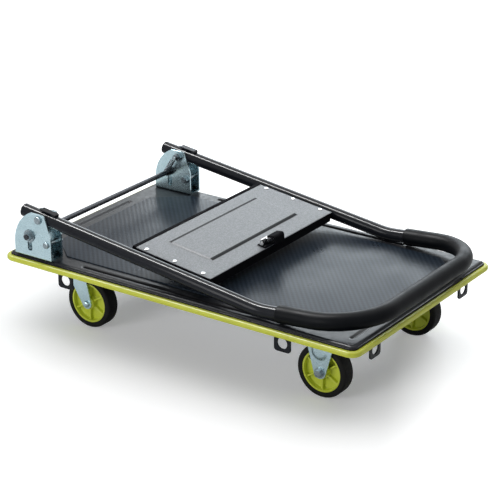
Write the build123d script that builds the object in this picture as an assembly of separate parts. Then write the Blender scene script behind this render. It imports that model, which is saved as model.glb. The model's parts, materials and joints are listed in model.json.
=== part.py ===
from build123d import *
import math
import os

os.makedirs("parts", exist_ok=True)

# A folding platform cart, in millimetres, shown folded.
# +X runs from the hinge end to the grip end, +Y across the deck, +Z up from the floor.

# Deck, edge and mat
deck_length = 782.0
deck_width = 482.0
deck_corner = 21.0
deck_sheet = 2.0
deck_flange = 16.0
deck_edge_round = 7.0
bumper_wall = 11.0
bumper_below = 6.0
bumper_height = 11.0
bumper_round = 4.5
trim_width = 3.0
trim_height = 3.0
trim_round = 1.2
mat_thickness = 2.0
mat_end_inset = 55.0
mat_side_inset = 46.5
mat_hinge_cut_x = 64.0
mat_hinge_cut_y = 56.0
mat_grip_cut = 28.0
bead_width = 10.0
bead_depth = 1.2
bead_side_inset = 28.0
bead_end_inset = 34.0
bead_long_margin = 173.0
bead_hinge_margin = 136.0
bead_grip_margin = 39.0
stiffener_spacing = 220.0
stiffener_margin = 39.0
stiffener_width = 40.0
stiffener_foot = 14.0
stiffener_depth = 18.0
stiffener_sheet = 1.5

# Tie-down tabs under the edge
tab_width = 34.0
tab_drop = 40.0
tab_sheet = 3.0
tab_corner = 6.0
tab_hole_radius = 10.5
tab_hole_rise = 16.0
tab_from_hinge_end = 142.0
tab_from_grip_end = 156.0
tab_from_side = 86.0

# Wheels
wheel_radius = 50.0
tyre_width = 28.6
tyre_thickness = 10.6
tyre_shoulder = 4.0
rim_lip = 3.6
rim_width = 27.0
rim_web = 7.0
hub_radius = 13.0
rib_count = 6
rib_thickness = 3.2
rib_width = 21.0
sleeve_wall = 1.8

# Casters
caster_from_end = 113.0
caster_from_side = 85.0
caster_height = 144.0
caster_plate_length = 100.0
caster_plate_width = 80.0
caster_plate_corner = 6.0
caster_sheet = 3.0
stud_spacing_x = 76.0
stud_spacing_y = 58.0
stud_length = 13.0
fork_gap = 32.0
fixed_boss = 12.0
swivel_leg_boss = 10.5
fixed_top_width = 76.0
emboss_radius = 15.0
emboss_height = 1.2
emboss_low = 26.0
swivel_trail = 33.5
swivel_boss_radius = 31.0
swivel_boss_height = 8.0
bearing_radius = 29.0
bearing_height = 3.7
crown_sheet = 4.0
crown_radius = 30.0
crown_back = 22.0
crown_front = 26.0
leg_knee_x = -6.0
leg_knee_drop = 34.0
kingpin_radius = 6.0
kingpin_rim = 5.0
kingpin_head = 4.5

# Fasteners
axle_radius = 4.0
axle_washer_rim = 5.7
axle_washer = 2.0
bolt_radius = 4.0
bolt_shoulder = 2.5
bolt_head = 5.3
nut_height = 6.5
thread_spare = 2.0

# Hinge brackets
bracket_sheet = 3.0
bracket_side_gap = 1.0
bracket_back = 60.0
bracket_front = 28.0
bracket_shoulder = 24.0
bracket_top = 11.0
bracket_top_back = 19.0
bracket_top_front = 14.0
bracket_waist = 31.0
bracket_bulge = (-49.0, -16.0)
base_bolt_back = 42.0
base_bolt_front = 12.0
pivot_inset = 86.0
pivot_rise = 78.0
pivot_radius = 5.0
pivot_rim = 2.5
pivot_head = 4.0
pivot_nut = 6.0
pivot_stub_radius = 4.0
pivot_stub = 11.0
stop_x = 17.0
stop_drop = 46.0
stop_head = 4.0

# Release rod
rod_radius = 5.0
rod_back = 23.0
rod_drop = 35.6
rod_travel = 25.0
rod_flange_rim = 7.0
rod_flange = 2.0
rod_nut_rim = 2.0
rod_nut = 6.5
rod_collar_rim = 3.0
rod_collar = 6.0
spring_wire = 2.0
spring_coil = 4.2
spring_turns = 8

# Handle
leg_inset = 25.0
tube_radius = 12.5
tube_wall = 1.8
tail = 48.0
end_cap = 3.0
end_plug = 9.0
bend_reach = 486.0
bend_radius = 150.0
grip_reach = 208.6
grip_bend_radius = 100.0
grip_radius = 16.0
grip_start = 43.0
pivot_sleeve_wall = 2.0
hook_length = 36.0
hook_back = 6.0
hook_foot = 9.0
hook_width = 12.0
hook_sheet = 2.4
hook_rise = 2.6

# Panel on the handle
panel_start = 203.0
panel_length = 167.0
panel_side_gap = 5.0
panel_top = 9.5
panel_sheet = 2.0
panel_rise = 2.0
panel_slope = 4.0
panel_field_length = 99.0
panel_field_width = 280.0
panel_field_start = 29.0
panel_field_corner = 5.0
tray_depth = 18.0
tray_sheet = 1.2
tray_ledge = 8.0
screw_spacing = 63.4
screw_start = 19.0
screw_inset = 7.5
screw_radius = 2.0
screw_head_radius = 4.2
screw_head = 1.6
post_radius = 4.5
saddle_length = 26.0
saddle_height = 13.0
saddle_spacing = 110.0

# Spring clip on the panel
clip_inset = 9.0
clip_rise = 7.5
clip_width = 54.0
clip_sheet = 1.5
clip_base_back = 9.0
clip_ear = 2.0
clip_ear_radius = 4.5
clip_pin_radius = 2.5
clip_pin_rim = 1.3
jaw_width = 24.0
jaw_reach = 13.0
jaw_curl = 4.2
jaw_barrel = 4.2
jaw_wing = 9.0
wing_angle = 15.0
pad_width = 30.0
pad_offset = 9.0
pad_thickness = 4.0
pad_back = 2.0
pad_front = 12.8
pad_skirt = 2.8
pad_drop = 8.0
pad_round = 5.0
coil_wire = 1.6
coil_radius = 4.4
coil_turns = 4
coil_pitch = 2.3
coil_leg = 7.0

# Clearances
running_fit = 0.05
bolt_fit = 0.2
seat_gap = 0.3
slide_gap = 0.3
hub_side_gap = 0.5

# Share of a head's or an edge's height that is rounded off
low_round = 0.35
full_round = 0.75

# Places worked out from the sizes above
deck_under = caster_height
deck_top = deck_under + deck_sheet
edge_x = deck_length / 2
edge_y = deck_width / 2
pan_length = deck_length - 2 * bumper_wall
pan_width = deck_width - 2 * bumper_wall
pan_corner = deck_corner - bumper_wall
bumper_top = deck_top - bumper_below
flange_top = deck_top - deck_edge_round
bracket_gap = 2 * (tube_radius + bracket_side_gap)
leg_y = edge_y - leg_inset
pivot_x = -edge_x + pivot_inset
pivot_z = deck_top + pivot_rise
plate_inner = leg_y - bracket_gap / 2 - bracket_sheet
plate_outer = leg_y + bracket_gap / 2 + bracket_sheet
rod_x = pivot_x - rod_back
rod_z = pivot_z - rod_drop
caster_x = edge_x - caster_from_end
caster_y = edge_y - caster_from_side
fork_width = fork_gap + 2 * caster_sheet
hub_width = fork_gap - 2 * hub_side_gap
rim_radius = wheel_radius - tyre_thickness
sleeve_radius = axle_radius + bolt_fit + sleeve_wall
bolt_across = 2 * (bolt_radius + bolt_shoulder)
pivot_sleeve_radius = pivot_radius + running_fit + pivot_sleeve_wall
panel_width = 2 * (leg_y - tube_radius - panel_side_gap)
bend_z = deck_top + tube_radius + seat_gap
decline = math.degrees(math.asin((pivot_z - bend_z) / bend_reach))
grip_rise = math.degrees(math.asin((deck_top + grip_radius + seat_gap - bend_z) / grip_start))
bend_turn = decline + grip_rise
grip_end_x = (
    pivot_x
    + bend_reach * math.cos(math.radians(decline))
    + grip_reach * math.cos(math.radians(grip_rise))
    + grip_radius
)
overhang = max(0.0, grip_end_x - edge_x)
centred = Pos(-overhang / 2, 0, 0)
handle_place = Pos(pivot_x, 0, pivot_z) * Rot(0, decline, 0)

BASE = (Align.CENTER, Align.CENTER, Align.MIN)


def rod_along_y(radius, y0, y1, x=0.0, z=0.0):
    """A round bar between two places across the cart."""
    return Pos(x, y0, z) * Rot(-90, 0, 0) * Cylinder(radius, y1 - y0, align=BASE)


def hex_along_y(across, y0, y1, x=0.0, z=0.0):
    """A hexagon bar between two places across the cart."""
    face = RegularPolygon(across / 2, 6, major_radius=False)
    return Pos(x, y0, z) * Rot(-90, 0, 0) * extrude(face, y1 - y0)


def rod_up(radius, z0, z1, x=0.0, y=0.0):
    """A round bar between two heights."""
    return Pos(x, y, z0) * Cylinder(radius, z1 - z0, align=BASE)


def hex_up(across, z0, z1, x=0.0, y=0.0):
    """A hexagon bar between two heights."""
    return Pos(x, y, z0) * extrude(RegularPolygon(across / 2, 6, major_radius=False), z1 - z0)


def block(x0, x1, y0, y1, z0, z1):
    """A box between two corners."""
    centre = Pos((x0 + x1) / 2, (y0 + y1) / 2, (z0 + z1) / 2)
    return centre * Box(x1 - x0, y1 - y0, z1 - z0)


def sheet_across(face, y0, y1):
    """A flat outline drawn in X and Z, given its thickness between two places across the cart."""
    plane = Plane(origin=(0, y1, 0), x_dir=(1, 0, 0), z_dir=(0, -1, 0))
    return extrude(plane * face, y1 - y0)


def slab(length, width, corner, z0, z1):
    """A rounded rectangle between two heights."""
    return Pos(0, 0, z0) * extrude(RectangleRounded(length, width, corner), z1 - z0)


def round_top(shape, radius):
    """The same solid with the edges of its flat top rounded."""
    top = shape.faces().sort_by(Axis.Z)[-1]
    return fillet(top.edges(), radius)


def mirrored(shape):
    """The same piece on the near side, across the cart's middle plane."""
    return mirror(shape, Plane.XZ)


def group(shapes):
    """Separate solids of one kind, kept as one sub-part."""
    return Compound([solid for shape in shapes for solid in shape.solids()])


def tangent_point(point, centre, radius, side):
    """Where a line from a point touches a circle, on its left (+1) or right (-1)."""
    dx = point[0] - centre[0]
    dz = point[1] - centre[1]
    bearing = math.atan2(dz, dx) + side * math.acos(radius / math.hypot(dx, dz))
    return (centre[0] + radius * math.cos(bearing), centre[1] + radius * math.sin(bearing))


def leg_outline(left_side, right_side, axle, boss):
    """A fork leg: two sides that run down to a round boss about the axle."""
    low_left = tangent_point(left_side[-1], axle, boss, 1)
    low_right = tangent_point(right_side[-1], axle, boss, -1)
    sides = Polyline(*([low_left] + left_side[::-1] + right_side + [low_right]))
    end = ThreePointArc(low_right, (axle[0], axle[1] - boss), low_left)
    return make_face(sides.edges() + end.edges())


def biarc(start, start_way, end, end_way):
    """Two arcs that leave one point and reach another with the given tangents."""
    span = end - start
    both_ways = start_way + end_way
    bend = 2 * (1 - start_way.dot(end_way))
    along = span.dot(both_ways)
    reach = (math.sqrt(along**2 + bend * span.dot(span)) - along) / bend
    first_knee = start + start_way * reach
    second_knee = end - end_way * reach
    middle = (first_knee + second_knee) / 2
    middle_way = (second_knee - first_knee).normalized()
    return [
        Edge.make_tangent_arc(start, start_way, middle),
        Edge.make_tangent_arc(middle, middle_way, end),
    ]


def least_gap(edges, wire):
    """The smallest free distance between two stretches of one wire, three diameters apart along it."""
    step = wire / 2
    points = []
    for edge in edges:
        count = max(2, math.ceil(edge.length / step))
        points += [edge.position_at(i / count) for i in range(count)]
    apart = math.ceil(3 * wire / step)
    gaps = [
        (points[i] - points[j]).length
        for i in range(len(points))
        for j in range(i + apart, len(points))
    ]
    return min(gaps) - wire


def bent_wire(edges, wire):
    """A round wire swept along joined arcs and straights."""
    start = edges[0]
    section = Plane(origin=start.position_at(0), z_dir=start.tangent_at(0)) * Circle(wire / 2)
    return sweep(section, path=Wire(edges))


# Deck

def make_bead(x, y, length, turn, width, z0, z1):
    """A round-ended strip of the deck border, as pressed."""
    return Pos(x, y, z0) * Rot(0, 0, turn) * extrude(SlotOverall(length, width), z1 - z0)


def make_deck_pan():
    """The pressed steel deck: a flat sheet rolled over into a flange, with pressed grooves."""
    low = deck_top - deck_flange
    pan = round_top(slab(pan_length, pan_width, pan_corner, low, deck_top), deck_edge_round)
    inner_length = pan_length - 2 * deck_sheet
    inner_width = pan_width - 2 * deck_sheet
    hollow = slab(inner_length, inner_width, pan_corner - deck_sheet, low, deck_under)
    pan -= round_top(hollow, deck_edge_round - deck_sheet)
    bead_y = edge_y - bead_side_inset
    bead_x = edge_x - bead_end_inset
    beads = [
        (0, bead_y, deck_length - 2 * bead_long_margin, 0),
        (0, -bead_y, deck_length - 2 * bead_long_margin, 0),
        (-bead_x, 0, deck_width - 2 * bead_hinge_margin, 90),
        (bead_x, 0, deck_width - 2 * bead_grip_margin, 90),
    ]
    for x, y, length, turn in beads:
        wall = 2 * deck_sheet
        pan += make_bead(x, y, length + wall, turn, bead_width + wall, deck_under - bead_depth, deck_under)
        pan -= make_bead(x, y, length, turn, bead_width, deck_top - bead_depth, deck_top)
    for x, y in base_bolt_places():
        pan -= rod_up(bolt_radius + bolt_fit, low, deck_top, x, y)
    return pan


def make_deck_mat():
    """The ribbed rubber mat, with its corners cut back beside the brackets."""
    x = edge_x - mat_end_inset
    y = edge_y - mat_side_inset
    half = [
        (-x, y - mat_hinge_cut_y),
        (-x + mat_hinge_cut_x, y),
        (x - mat_grip_cut, y),
        (x, y - mat_grip_cut),
    ]
    outline = half + [(px, -py) for px, py in half[::-1]]
    return Pos(0, 0, deck_top) * extrude(make_face(Polyline(*outline, close=True).edges()), mat_thickness)


def make_bumper():
    """The round-nosed bumper strip, seated all round on the deck's flange."""
    low = bumper_top - bumper_height
    strip = slab(deck_length, deck_width, deck_corner, low, bumper_top)
    rims = strip.faces().filter_by(Axis.Z).edges()
    strip = fillet(rims, bumper_round)
    return strip - slab(pan_length, pan_width, pan_corner, low, bumper_top)


def make_edge_trim():
    """The black strip that lies on the bumper and closes its seam with the deck."""
    high = bumper_top + trim_height
    outer_length = pan_length + 2 * trim_width
    outer_width = pan_width + 2 * trim_width
    strip = round_top(slab(outer_length, outer_width, pan_corner + trim_width, bumper_top, high), trim_round)
    return strip - slab(pan_length, pan_width, pan_corner, bumper_top, high)


def make_stiffeners():
    """Two hat-section channels welded across the underside of the deck."""
    half = stiffener_width / 2
    low = deck_under - stiffener_depth
    t = stiffener_sheet
    hat = make_face(
        Polyline(
            (-half - stiffener_foot, deck_under),
            (-half - stiffener_foot, deck_under - t),
            (-half, deck_under - t),
            (-half + t, low),
            (half - t, low),
            (half, deck_under - t),
            (half + stiffener_foot, deck_under - t),
            (half + stiffener_foot, deck_under),
            (half - t, deck_under),
            (half - 2 * t, low + t),
            (-half + 2 * t, low + t),
            (-half + t, deck_under),
            close=True,
        ).edges()
    )
    end = edge_y - stiffener_margin
    channel = sheet_across(hat, -end, end)
    return group([Pos(x, 0, 0) * channel for x in (-stiffener_spacing / 2, stiffener_spacing / 2)])


def make_tie_down_tabs():
    """Stamped tabs with a round eye, welded inside the straight part of the deck's flange."""
    low = flange_top - tab_drop
    plate = Pos(0, low + tab_drop / 2) * Rectangle(tab_width, tab_drop)
    plate = fillet(plate.vertices().sort_by(Axis.Y)[:2], tab_corner)
    plate -= Pos(0, low + tab_hole_rise) * Circle(tab_hole_radius)
    face_y = pan_width / 2 - deck_sheet
    face_x = pan_length / 2 - deck_sheet
    side_tab = sheet_across(plate, face_y - tab_sheet, face_y)
    end_tab = Rot(0, 0, -90) * sheet_across(plate, face_x - tab_sheet, face_x)
    end_y = edge_y - tab_from_side
    tabs = [Pos(x, 0, 0) * side_tab for x in (tab_from_hinge_end - edge_x, edge_x - tab_from_grip_end)]
    tabs += [mirrored(tab) for tab in tabs]
    tabs += [Pos(0, y, 0) * end_tab for y in (-end_y, end_y)]
    return group(tabs)


# Hinge brackets and their fasteners

def base_bolt_places():
    """Where the brackets are bolted to the deck."""
    return [
        (pivot_x + x, side * leg_y)
        for side in (-1, 1)
        for x in (-base_bolt_back, base_bolt_front)
    ]


def make_hinge_bracket():
    """A U-shaped bracket of the far side: two rounded cheeks on a flat base."""
    floor = -pivot_rise
    shoulder = (-bracket_back, floor + bracket_shoulder)
    crest = (-bracket_top_back, bracket_top)
    sides = Polyline(
        crest,
        (bracket_top_front, bracket_top),
        (bracket_front, -bracket_waist),
        (bracket_front, floor),
        (-bracket_back, floor),
        shoulder,
    )
    bow = ThreePointArc(shoulder, bracket_bulge, crest)
    cheek = make_face(sides.edges() + bow.edges())
    cheek -= Circle(pivot_radius + bolt_fit)
    cheek -= Pos(stop_x, -stop_drop) * Circle(bolt_radius + bolt_fit)
    slot_width = 2 * (rod_radius + slide_gap)
    slot = Rot(0, 0, 90) * SlotCenterToCenter(rod_travel, slot_width)
    cheek -= Pos(-rod_back, -rod_drop - rod_travel / 2) * slot
    cheek = Pos(pivot_x, pivot_z) * cheek
    bracket = sheet_across(cheek, plate_inner, plate_inner + bracket_sheet)
    bracket += sheet_across(cheek, plate_outer - bracket_sheet, plate_outer)
    back = pivot_x - bracket_back
    front = pivot_x + bracket_front
    bracket += block(back, front, plate_inner, plate_outer, deck_top, deck_top + bracket_sheet)
    bends = [
        e
        for e in bracket.edges().filter_by(Axis.X)
        if abs(e.center().Z - deck_top) < 0.01 and e.length > bracket_back
    ]
    bracket = fillet(bends, bracket_sheet)
    for x, y in base_bolt_places():
        if y > 0:
            bracket -= rod_up(bolt_radius + bolt_fit, deck_top, deck_top + bracket_sheet, x, y)
    return bracket


def make_base_bolts():
    """Hexagon bolts that hold the bracket bases down on the deck."""
    seat = deck_top + bracket_sheet
    low = deck_under - nut_height - thread_spare
    return group(
        [
            rod_up(bolt_radius, low, seat, x, y) + hex_up(bolt_across, seat, seat + bolt_head, x, y)
            for x, y in base_bolt_places()
        ]
    )


def make_base_nuts():
    """Nuts of the bracket bolts, under the deck."""
    return group(
        [
            hex_up(bolt_across, deck_under - nut_height, deck_under, x, y)
            - rod_up(bolt_radius + running_fit, deck_under - nut_height, deck_under, x, y)
            for x, y in base_bolt_places()
        ]
    )


def make_pivot_bolt():
    """A shoulder bolt with a low round head and a stub for the spring on its inner end."""
    stub_end = plate_inner - pivot_nut - pivot_stub
    bolt = rod_along_y(pivot_radius, plate_inner, plate_outer, pivot_x, pivot_z)
    bolt += rod_along_y(pivot_stub_radius, stub_end, plate_inner, pivot_x, pivot_z)
    head = rod_along_y(pivot_radius + pivot_rim, plate_outer, plate_outer + pivot_head, pivot_x, pivot_z)
    rim = head.edges().filter_by(GeomType.CIRCLE).sort_by(Axis.Y)[-1]
    return bolt + fillet(rim, pivot_head * low_round)


def make_pivot_nut():
    """The nut on the inner end of a pivot bolt."""
    low = plate_inner - pivot_nut
    nut = hex_along_y(2 * (pivot_radius + pivot_rim), low, plate_inner, pivot_x, pivot_z)
    return nut - rod_along_y(pivot_stub_radius + running_fit, low, plate_inner, pivot_x, pivot_z)


def make_stop_bolt():
    """The cross bolt that the upright handle leans on."""
    x = pivot_x + stop_x
    z = pivot_z - stop_drop
    low = plate_inner - nut_height - thread_spare
    bolt = rod_along_y(bolt_radius, low, plate_outer, x, z)
    head = rod_along_y(bolt_across / 2, plate_outer, plate_outer + stop_head, x, z)
    rim = head.edges().filter_by(GeomType.CIRCLE).sort_by(Axis.Y)[-1]
    return bolt + fillet(rim, stop_head * full_round)


def make_stop_nut():
    """The nut of the stop bolt, on the inner cheek."""
    x = pivot_x + stop_x
    z = pivot_z - stop_drop
    nut = hex_along_y(bolt_across, plate_inner - nut_height, plate_inner, x, z)
    return nut - rod_along_y(bolt_radius + running_fit, plate_inner - nut_height, plate_inner, x, z)


# Casters

def stud_places():
    """Stud places about the middle of a caster plate."""
    return [(sx * stud_spacing_x / 2, sy * stud_spacing_y / 2) for sx in (-1, 1) for sy in (-1, 1)]


def caster_places():
    """The middles of the four caster plates."""
    return [(sx * caster_x, sy * caster_y) for sx in (-1, 1) for sy in (-1, 1)]


def make_caster_studs():
    """Studs welded to the underside of the deck."""
    return group(
        [
            rod_up(bolt_radius, deck_under - stud_length, deck_under, cx + x, cy + y)
            for cx, cy in caster_places()
            for x, y in stud_places()
        ]
    )


def make_caster_nuts():
    """Nuts that hold the caster plates on their studs."""
    seat = deck_under - caster_sheet
    return group(
        [
            hex_up(bolt_across, seat - nut_height, seat, cx + x, cy + y)
            - rod_up(bolt_radius + running_fit, seat - nut_height, seat, cx + x, cy + y)
            for cx, cy in caster_places()
            for x, y in stud_places()
        ]
    )


def caster_plate():
    """The top plate of a caster, about its own middle."""
    low = deck_under - caster_sheet
    plate = slab(caster_plate_length, caster_plate_width, caster_plate_corner, low, deck_under)
    for x, y in stud_places():
        plate -= rod_up(bolt_radius + bolt_fit, low, deck_under, x, y)
    return plate


def make_fixed_fork():
    """A fixed caster's fork: tapered legs with a pressed, round-ended boss on each."""
    low = deck_under - caster_sheet
    half = fixed_top_width / 2
    leg = leg_outline([(-half, low)], [(half, low)], (0, wheel_radius), fixed_boss)
    boss_z = wheel_radius + emboss_low + emboss_radius
    boss = Circle(emboss_radius) + Pos(0, (low - boss_z) / 2) * Rectangle(2 * emboss_radius, low - boss_z)
    boss = Pos(0, boss_z) * boss
    hollow = offset(boss, -emboss_height)
    inner = fork_gap / 2
    outer = fork_width / 2
    cheek = sheet_across(leg, inner, outer)
    pressed = sheet_across(boss, outer, outer + emboss_height)
    face_y = outer + emboss_height
    edges = [e for e in pressed.edges() if abs(e.center().Y - face_y) < 0.01]
    rim = [e for e in edges if e.center().Z < low - emboss_height]
    cheek += fillet(rim, emboss_height * full_round)
    cheek -= sheet_across(hollow, inner, inner + emboss_height)
    cheek -= rod_along_y(axle_radius + bolt_fit, inner, outer, 0, wheel_radius)
    return caster_plate() + cheek + mirrored(cheek)


def make_swivel_plate():
    """A swivel caster's top plate with its pressed-down bearing seat."""
    low = deck_under - caster_sheet
    seat = rod_up(swivel_boss_radius, low - swivel_boss_height, low)
    rim = seat.edges().filter_by(GeomType.CIRCLE).sort_by(Axis.Z)[0]
    return caster_plate() + fillet(rim, caster_sheet * low_round)


def make_kingpin():
    """The riveted king pin that carries a swivel fork."""
    seat = deck_under - caster_sheet - swivel_boss_height
    crown_low = seat - seat_gap - bearing_height - crown_sheet
    pin = rod_up(kingpin_radius, crown_low - seat_gap, seat)
    head = rod_up(kingpin_radius + kingpin_rim, crown_low - seat_gap - kingpin_head, crown_low - seat_gap)
    rim = head.edges().filter_by(GeomType.CIRCLE).sort_by(Axis.Z)[0]
    return pin + fillet(rim, kingpin_head * low_round)


def make_swivel_bearing():
    """The bearing ring between a swivel plate and its fork crown."""
    high = deck_under - caster_sheet - swivel_boss_height - seat_gap
    ring = rod_up(bearing_radius, high - bearing_height, high)
    return ring - rod_up(kingpin_radius + running_fit, high - bearing_height, high)


def make_swivel_fork():
    """A swivel fork about its king pin: a round crown with two legs that trail to the axle."""
    high = deck_under - caster_sheet - swivel_boss_height - seat_gap - bearing_height
    low = high - crown_sheet
    axle = (swivel_trail, wheel_radius)
    left = [(-crown_back, high), (leg_knee_x, high - leg_knee_drop)]
    leg = leg_outline(left, [(crown_front, high)], axle, swivel_leg_boss)
    inner = fork_gap / 2
    outer = fork_width / 2
    cheek = sheet_across(leg, inner, outer)
    cheek -= rod_along_y(axle_radius + bolt_fit, inner, outer, *axle)
    fork = rod_up(crown_radius, low, high)
    fork += block(-crown_back, crown_front, -outer, outer, low, high)
    fork += cheek + mirrored(cheek)
    return fork - rod_up(kingpin_radius + running_fit, low, high)


def make_axle_bolt(side, domed):
    """An axle bolt about the wheel's middle, with its head on the outer side of the cart."""
    outer = fork_width / 2
    bolt = rod_along_y(axle_radius, -outer - nut_height - thread_spare, outer)
    if domed:
        head = rod_along_y(bolt_across / 2, outer, outer + bolt_head)
        rim = head.edges().filter_by(GeomType.CIRCLE).sort_by(Axis.Y)[-1]
        head = fillet(rim, bolt_head * full_round)
    else:
        seat = outer + axle_washer
        head = rod_along_y(axle_radius + axle_washer_rim, outer, seat)
        head += hex_along_y(bolt_across, seat, seat + bolt_head)
    bolt += head
    return bolt if side > 0 else mirrored(bolt)


def make_axle_nut(side):
    """The nut of an axle bolt, on the inner side of its fork."""
    high = -fork_width / 2
    nut = hex_along_y(bolt_across, high - nut_height, high)
    nut -= rod_along_y(axle_radius + running_fit, high - nut_height, high)
    return nut if side > 0 else mirrored(nut)


def make_axle_sleeve():
    """The steel sleeve between the fork legs that a wheel turns on."""
    half = fork_gap / 2
    return rod_along_y(sleeve_radius, -half, half) - rod_along_y(axle_radius + bolt_fit, -half, half)


def make_wheel_rim():
    """A moulded wheel centre: hub, web, outer lip and ribs on both faces."""
    lip = rim_radius - rim_lip
    half_profile = [
        (sleeve_radius + running_fit, hub_width / 2),
        (hub_radius, hub_width / 2),
        (hub_radius, rim_web / 2),
        (lip, rim_web / 2),
        (lip, rim_width / 2),
        (rim_radius, rim_width / 2),
    ]
    outline = half_profile + [(r, -y) for r, y in half_profile[::-1]]
    profile = make_face(Polyline(*outline, close=True).edges())
    rim = revolve(Plane.XZ * profile, Axis.Z)
    middle = (hub_radius + lip) / 2
    rib = Pos(middle, 0, 0) * Box(lip - hub_radius + rim_lip, rib_thickness, rib_width)
    for i in range(rib_count):
        rim += Rot(0, 0, i * 360 / rib_count) * rib
    return Rot(-90, 0, 0) * rim


def make_tyre():
    """A solid rubber tyre with rounded shoulders."""
    half = tyre_width / 2
    tyre = rod_along_y(wheel_radius, -half, half)
    tyre = fillet(tyre.edges().filter_by(GeomType.CIRCLE), tyre_shoulder)
    return tyre - rod_along_y(rim_radius + running_fit, -half, half)


# Release rod and its springs

def make_release_rod():
    """The foot rod across both brackets, with a collar inside each one."""
    end = plate_outer + slide_gap + rod_flange + rod_nut + thread_spare
    rod = rod_along_y(rod_radius, -end, end, rod_x, rod_z)
    face = plate_inner - slide_gap
    collar = rod_along_y(rod_radius + rod_collar_rim, face - rod_collar, face, rod_x, rod_z)
    return rod + collar + mirrored(collar)


def make_rod_nuts():
    """Flanged nuts on the two ends of the release rod."""
    seat = plate_outer + slide_gap
    end = seat + rod_flange + rod_nut
    nut = rod_along_y(rod_radius + rod_flange_rim, seat, seat + rod_flange, rod_x, rod_z)
    nut += hex_along_y(2 * (rod_radius + rod_nut_rim), seat + rod_flange, end, rod_x, rod_z)
    nut -= rod_along_y(rod_radius + running_fit, seat, end, rod_x, rod_z)
    return group([nut, mirrored(nut)])


def make_return_spring():
    """An extension spring from a pivot bolt's stub down to the release rod."""
    hook_y = plate_inner - pivot_nut - pivot_stub / 2
    axis_y = hook_y - spring_coil
    top = Vector(pivot_x, axis_y, pivot_z)
    length = math.hypot(rod_back, rod_drop)
    down = Vector(-rod_back, 0, -rod_drop) / length
    across = Vector(0, 1, 0)
    aside = across.cross(down)
    top_hook = pivot_stub_radius + seat_gap + spring_wire / 2
    low_hook = rod_radius + seat_gap + spring_wire / 2
    pitch = (length - top_hook - low_hook) / spring_turns

    def at(a, b, s):
        return top + aside * a + across * b + down * s

    r = spring_coil
    edges = [
        Edge.make_line(at(-top_hook, r, spring_wire), at(-top_hook, r, 0)),
        Edge.make_three_point_arc(at(-top_hook, r, 0), at(0, r, -top_hook), at(top_hook, r, 0)),
        Edge.make_tangent_arc(at(top_hook, r, 0), down, at(0, r, top_hook)),
    ]
    here = at(0, r, top_hook)
    way = aside * -1
    for half_turn in range(1, 2 * spring_turns + 1):
        side = -1 if half_turn % 2 else 1
        there = at(0, side * r, top_hook + pitch * half_turn / 2)
        lean = down * (pitch / (2 * math.pi * r))
        there_way = aside * -side
        if half_turn < 2 * spring_turns:
            there_way = (there_way + lean).normalized()
        edges += biarc(here, way, there, there_way)
        here = there
        way = there_way
    edges += [
        Edge.make_tangent_arc(here, way, at(-low_hook, r, length)),
        Edge.make_three_point_arc(
            at(-low_hook, r, length), at(0, r, length + low_hook), at(low_hook, r, length)
        ),
        Edge.make_line(at(low_hook, r, length), at(low_hook, r, length - spring_wire)),
    ]
    print("return spring, least gap to itself:", round(least_gap(edges, spring_wire), 2), "mm")
    return bent_wire(edges, spring_wire)


# Handle, in its own frame: the pivot at the origin and the legs along X

def handle_points():
    """The corners of the handle's centre line from one tail to the other."""
    turn = math.radians(bend_turn)
    cross = (bend_reach + grip_reach * math.cos(turn), grip_reach * math.sin(turn))
    half = [(-tail + end_cap, 0.0), (bend_reach, 0.0), cross]
    near = [(x, -leg_y, z) for x, z in half]
    far = [(x, leg_y, z) for x, z in half[::-1]]
    return near + far


def tube_along(path, outer, inner):
    """A round tube along a path."""
    plane = Plane(origin=path.position_at(0), z_dir=path.tangent_at(0))
    return sweep(plane * (Circle(outer) - Circle(inner)), path=path)


def make_handle_tube():
    """One bent tube: two legs, a slight upward bend in each, and the cross part at the grip."""
    radii = [bend_radius, grip_bend_radius, grip_bend_radius, bend_radius]
    path = FilletPolyline(*handle_points(), radius=radii)
    tube = tube_along(path, tube_radius, tube_radius - tube_wall)
    for side in (-1, 1):
        y = side * leg_y
        tube -= rod_along_y(pivot_sleeve_radius + running_fit, y - tube_radius, y + tube_radius)
    return tube


def make_foam_grip():
    """The foam sleeve round the cross part and both bends."""
    points = handle_points()
    turn = math.radians(bend_turn)
    x = bend_reach + grip_start * math.cos(turn)
    z = grip_start * math.sin(turn)
    route = [(x, -leg_y, z), points[2], points[3], (x, leg_y, z)]
    path = FilletPolyline(*route, radius=grip_bend_radius)
    return tube_along(path, grip_radius, tube_radius + bolt_fit)


def make_end_caps():
    """Plastic plugs in the two tails of the tube."""
    bore = tube_radius - tube_wall - bolt_fit
    dome = Cylinder(tube_radius, end_cap, align=BASE)
    rim = dome.edges().filter_by(GeomType.CIRCLE).sort_by(Axis.Z)[-1]
    cap = fillet(rim, end_cap * full_round) + Pos(0, 0, -end_plug) * Cylinder(bore, end_plug, align=BASE)
    cap = Pos(-tail + end_cap, 0, 0) * Rot(0, -90, 0) * cap
    return group([Pos(0, side * leg_y, 0) * cap for side in (-1, 1)])


def make_pivot_sleeves():
    """Steel sleeves welded across the legs, which turn on the pivot bolts."""
    half = bracket_gap / 2 - bolt_fit
    sleeve = rod_along_y(pivot_sleeve_radius, -half, half)
    sleeve -= rod_along_y(pivot_radius + running_fit, -half, half)
    return group([Pos(0, side * leg_y, 0) * sleeve for side in (-1, 1)])


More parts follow.
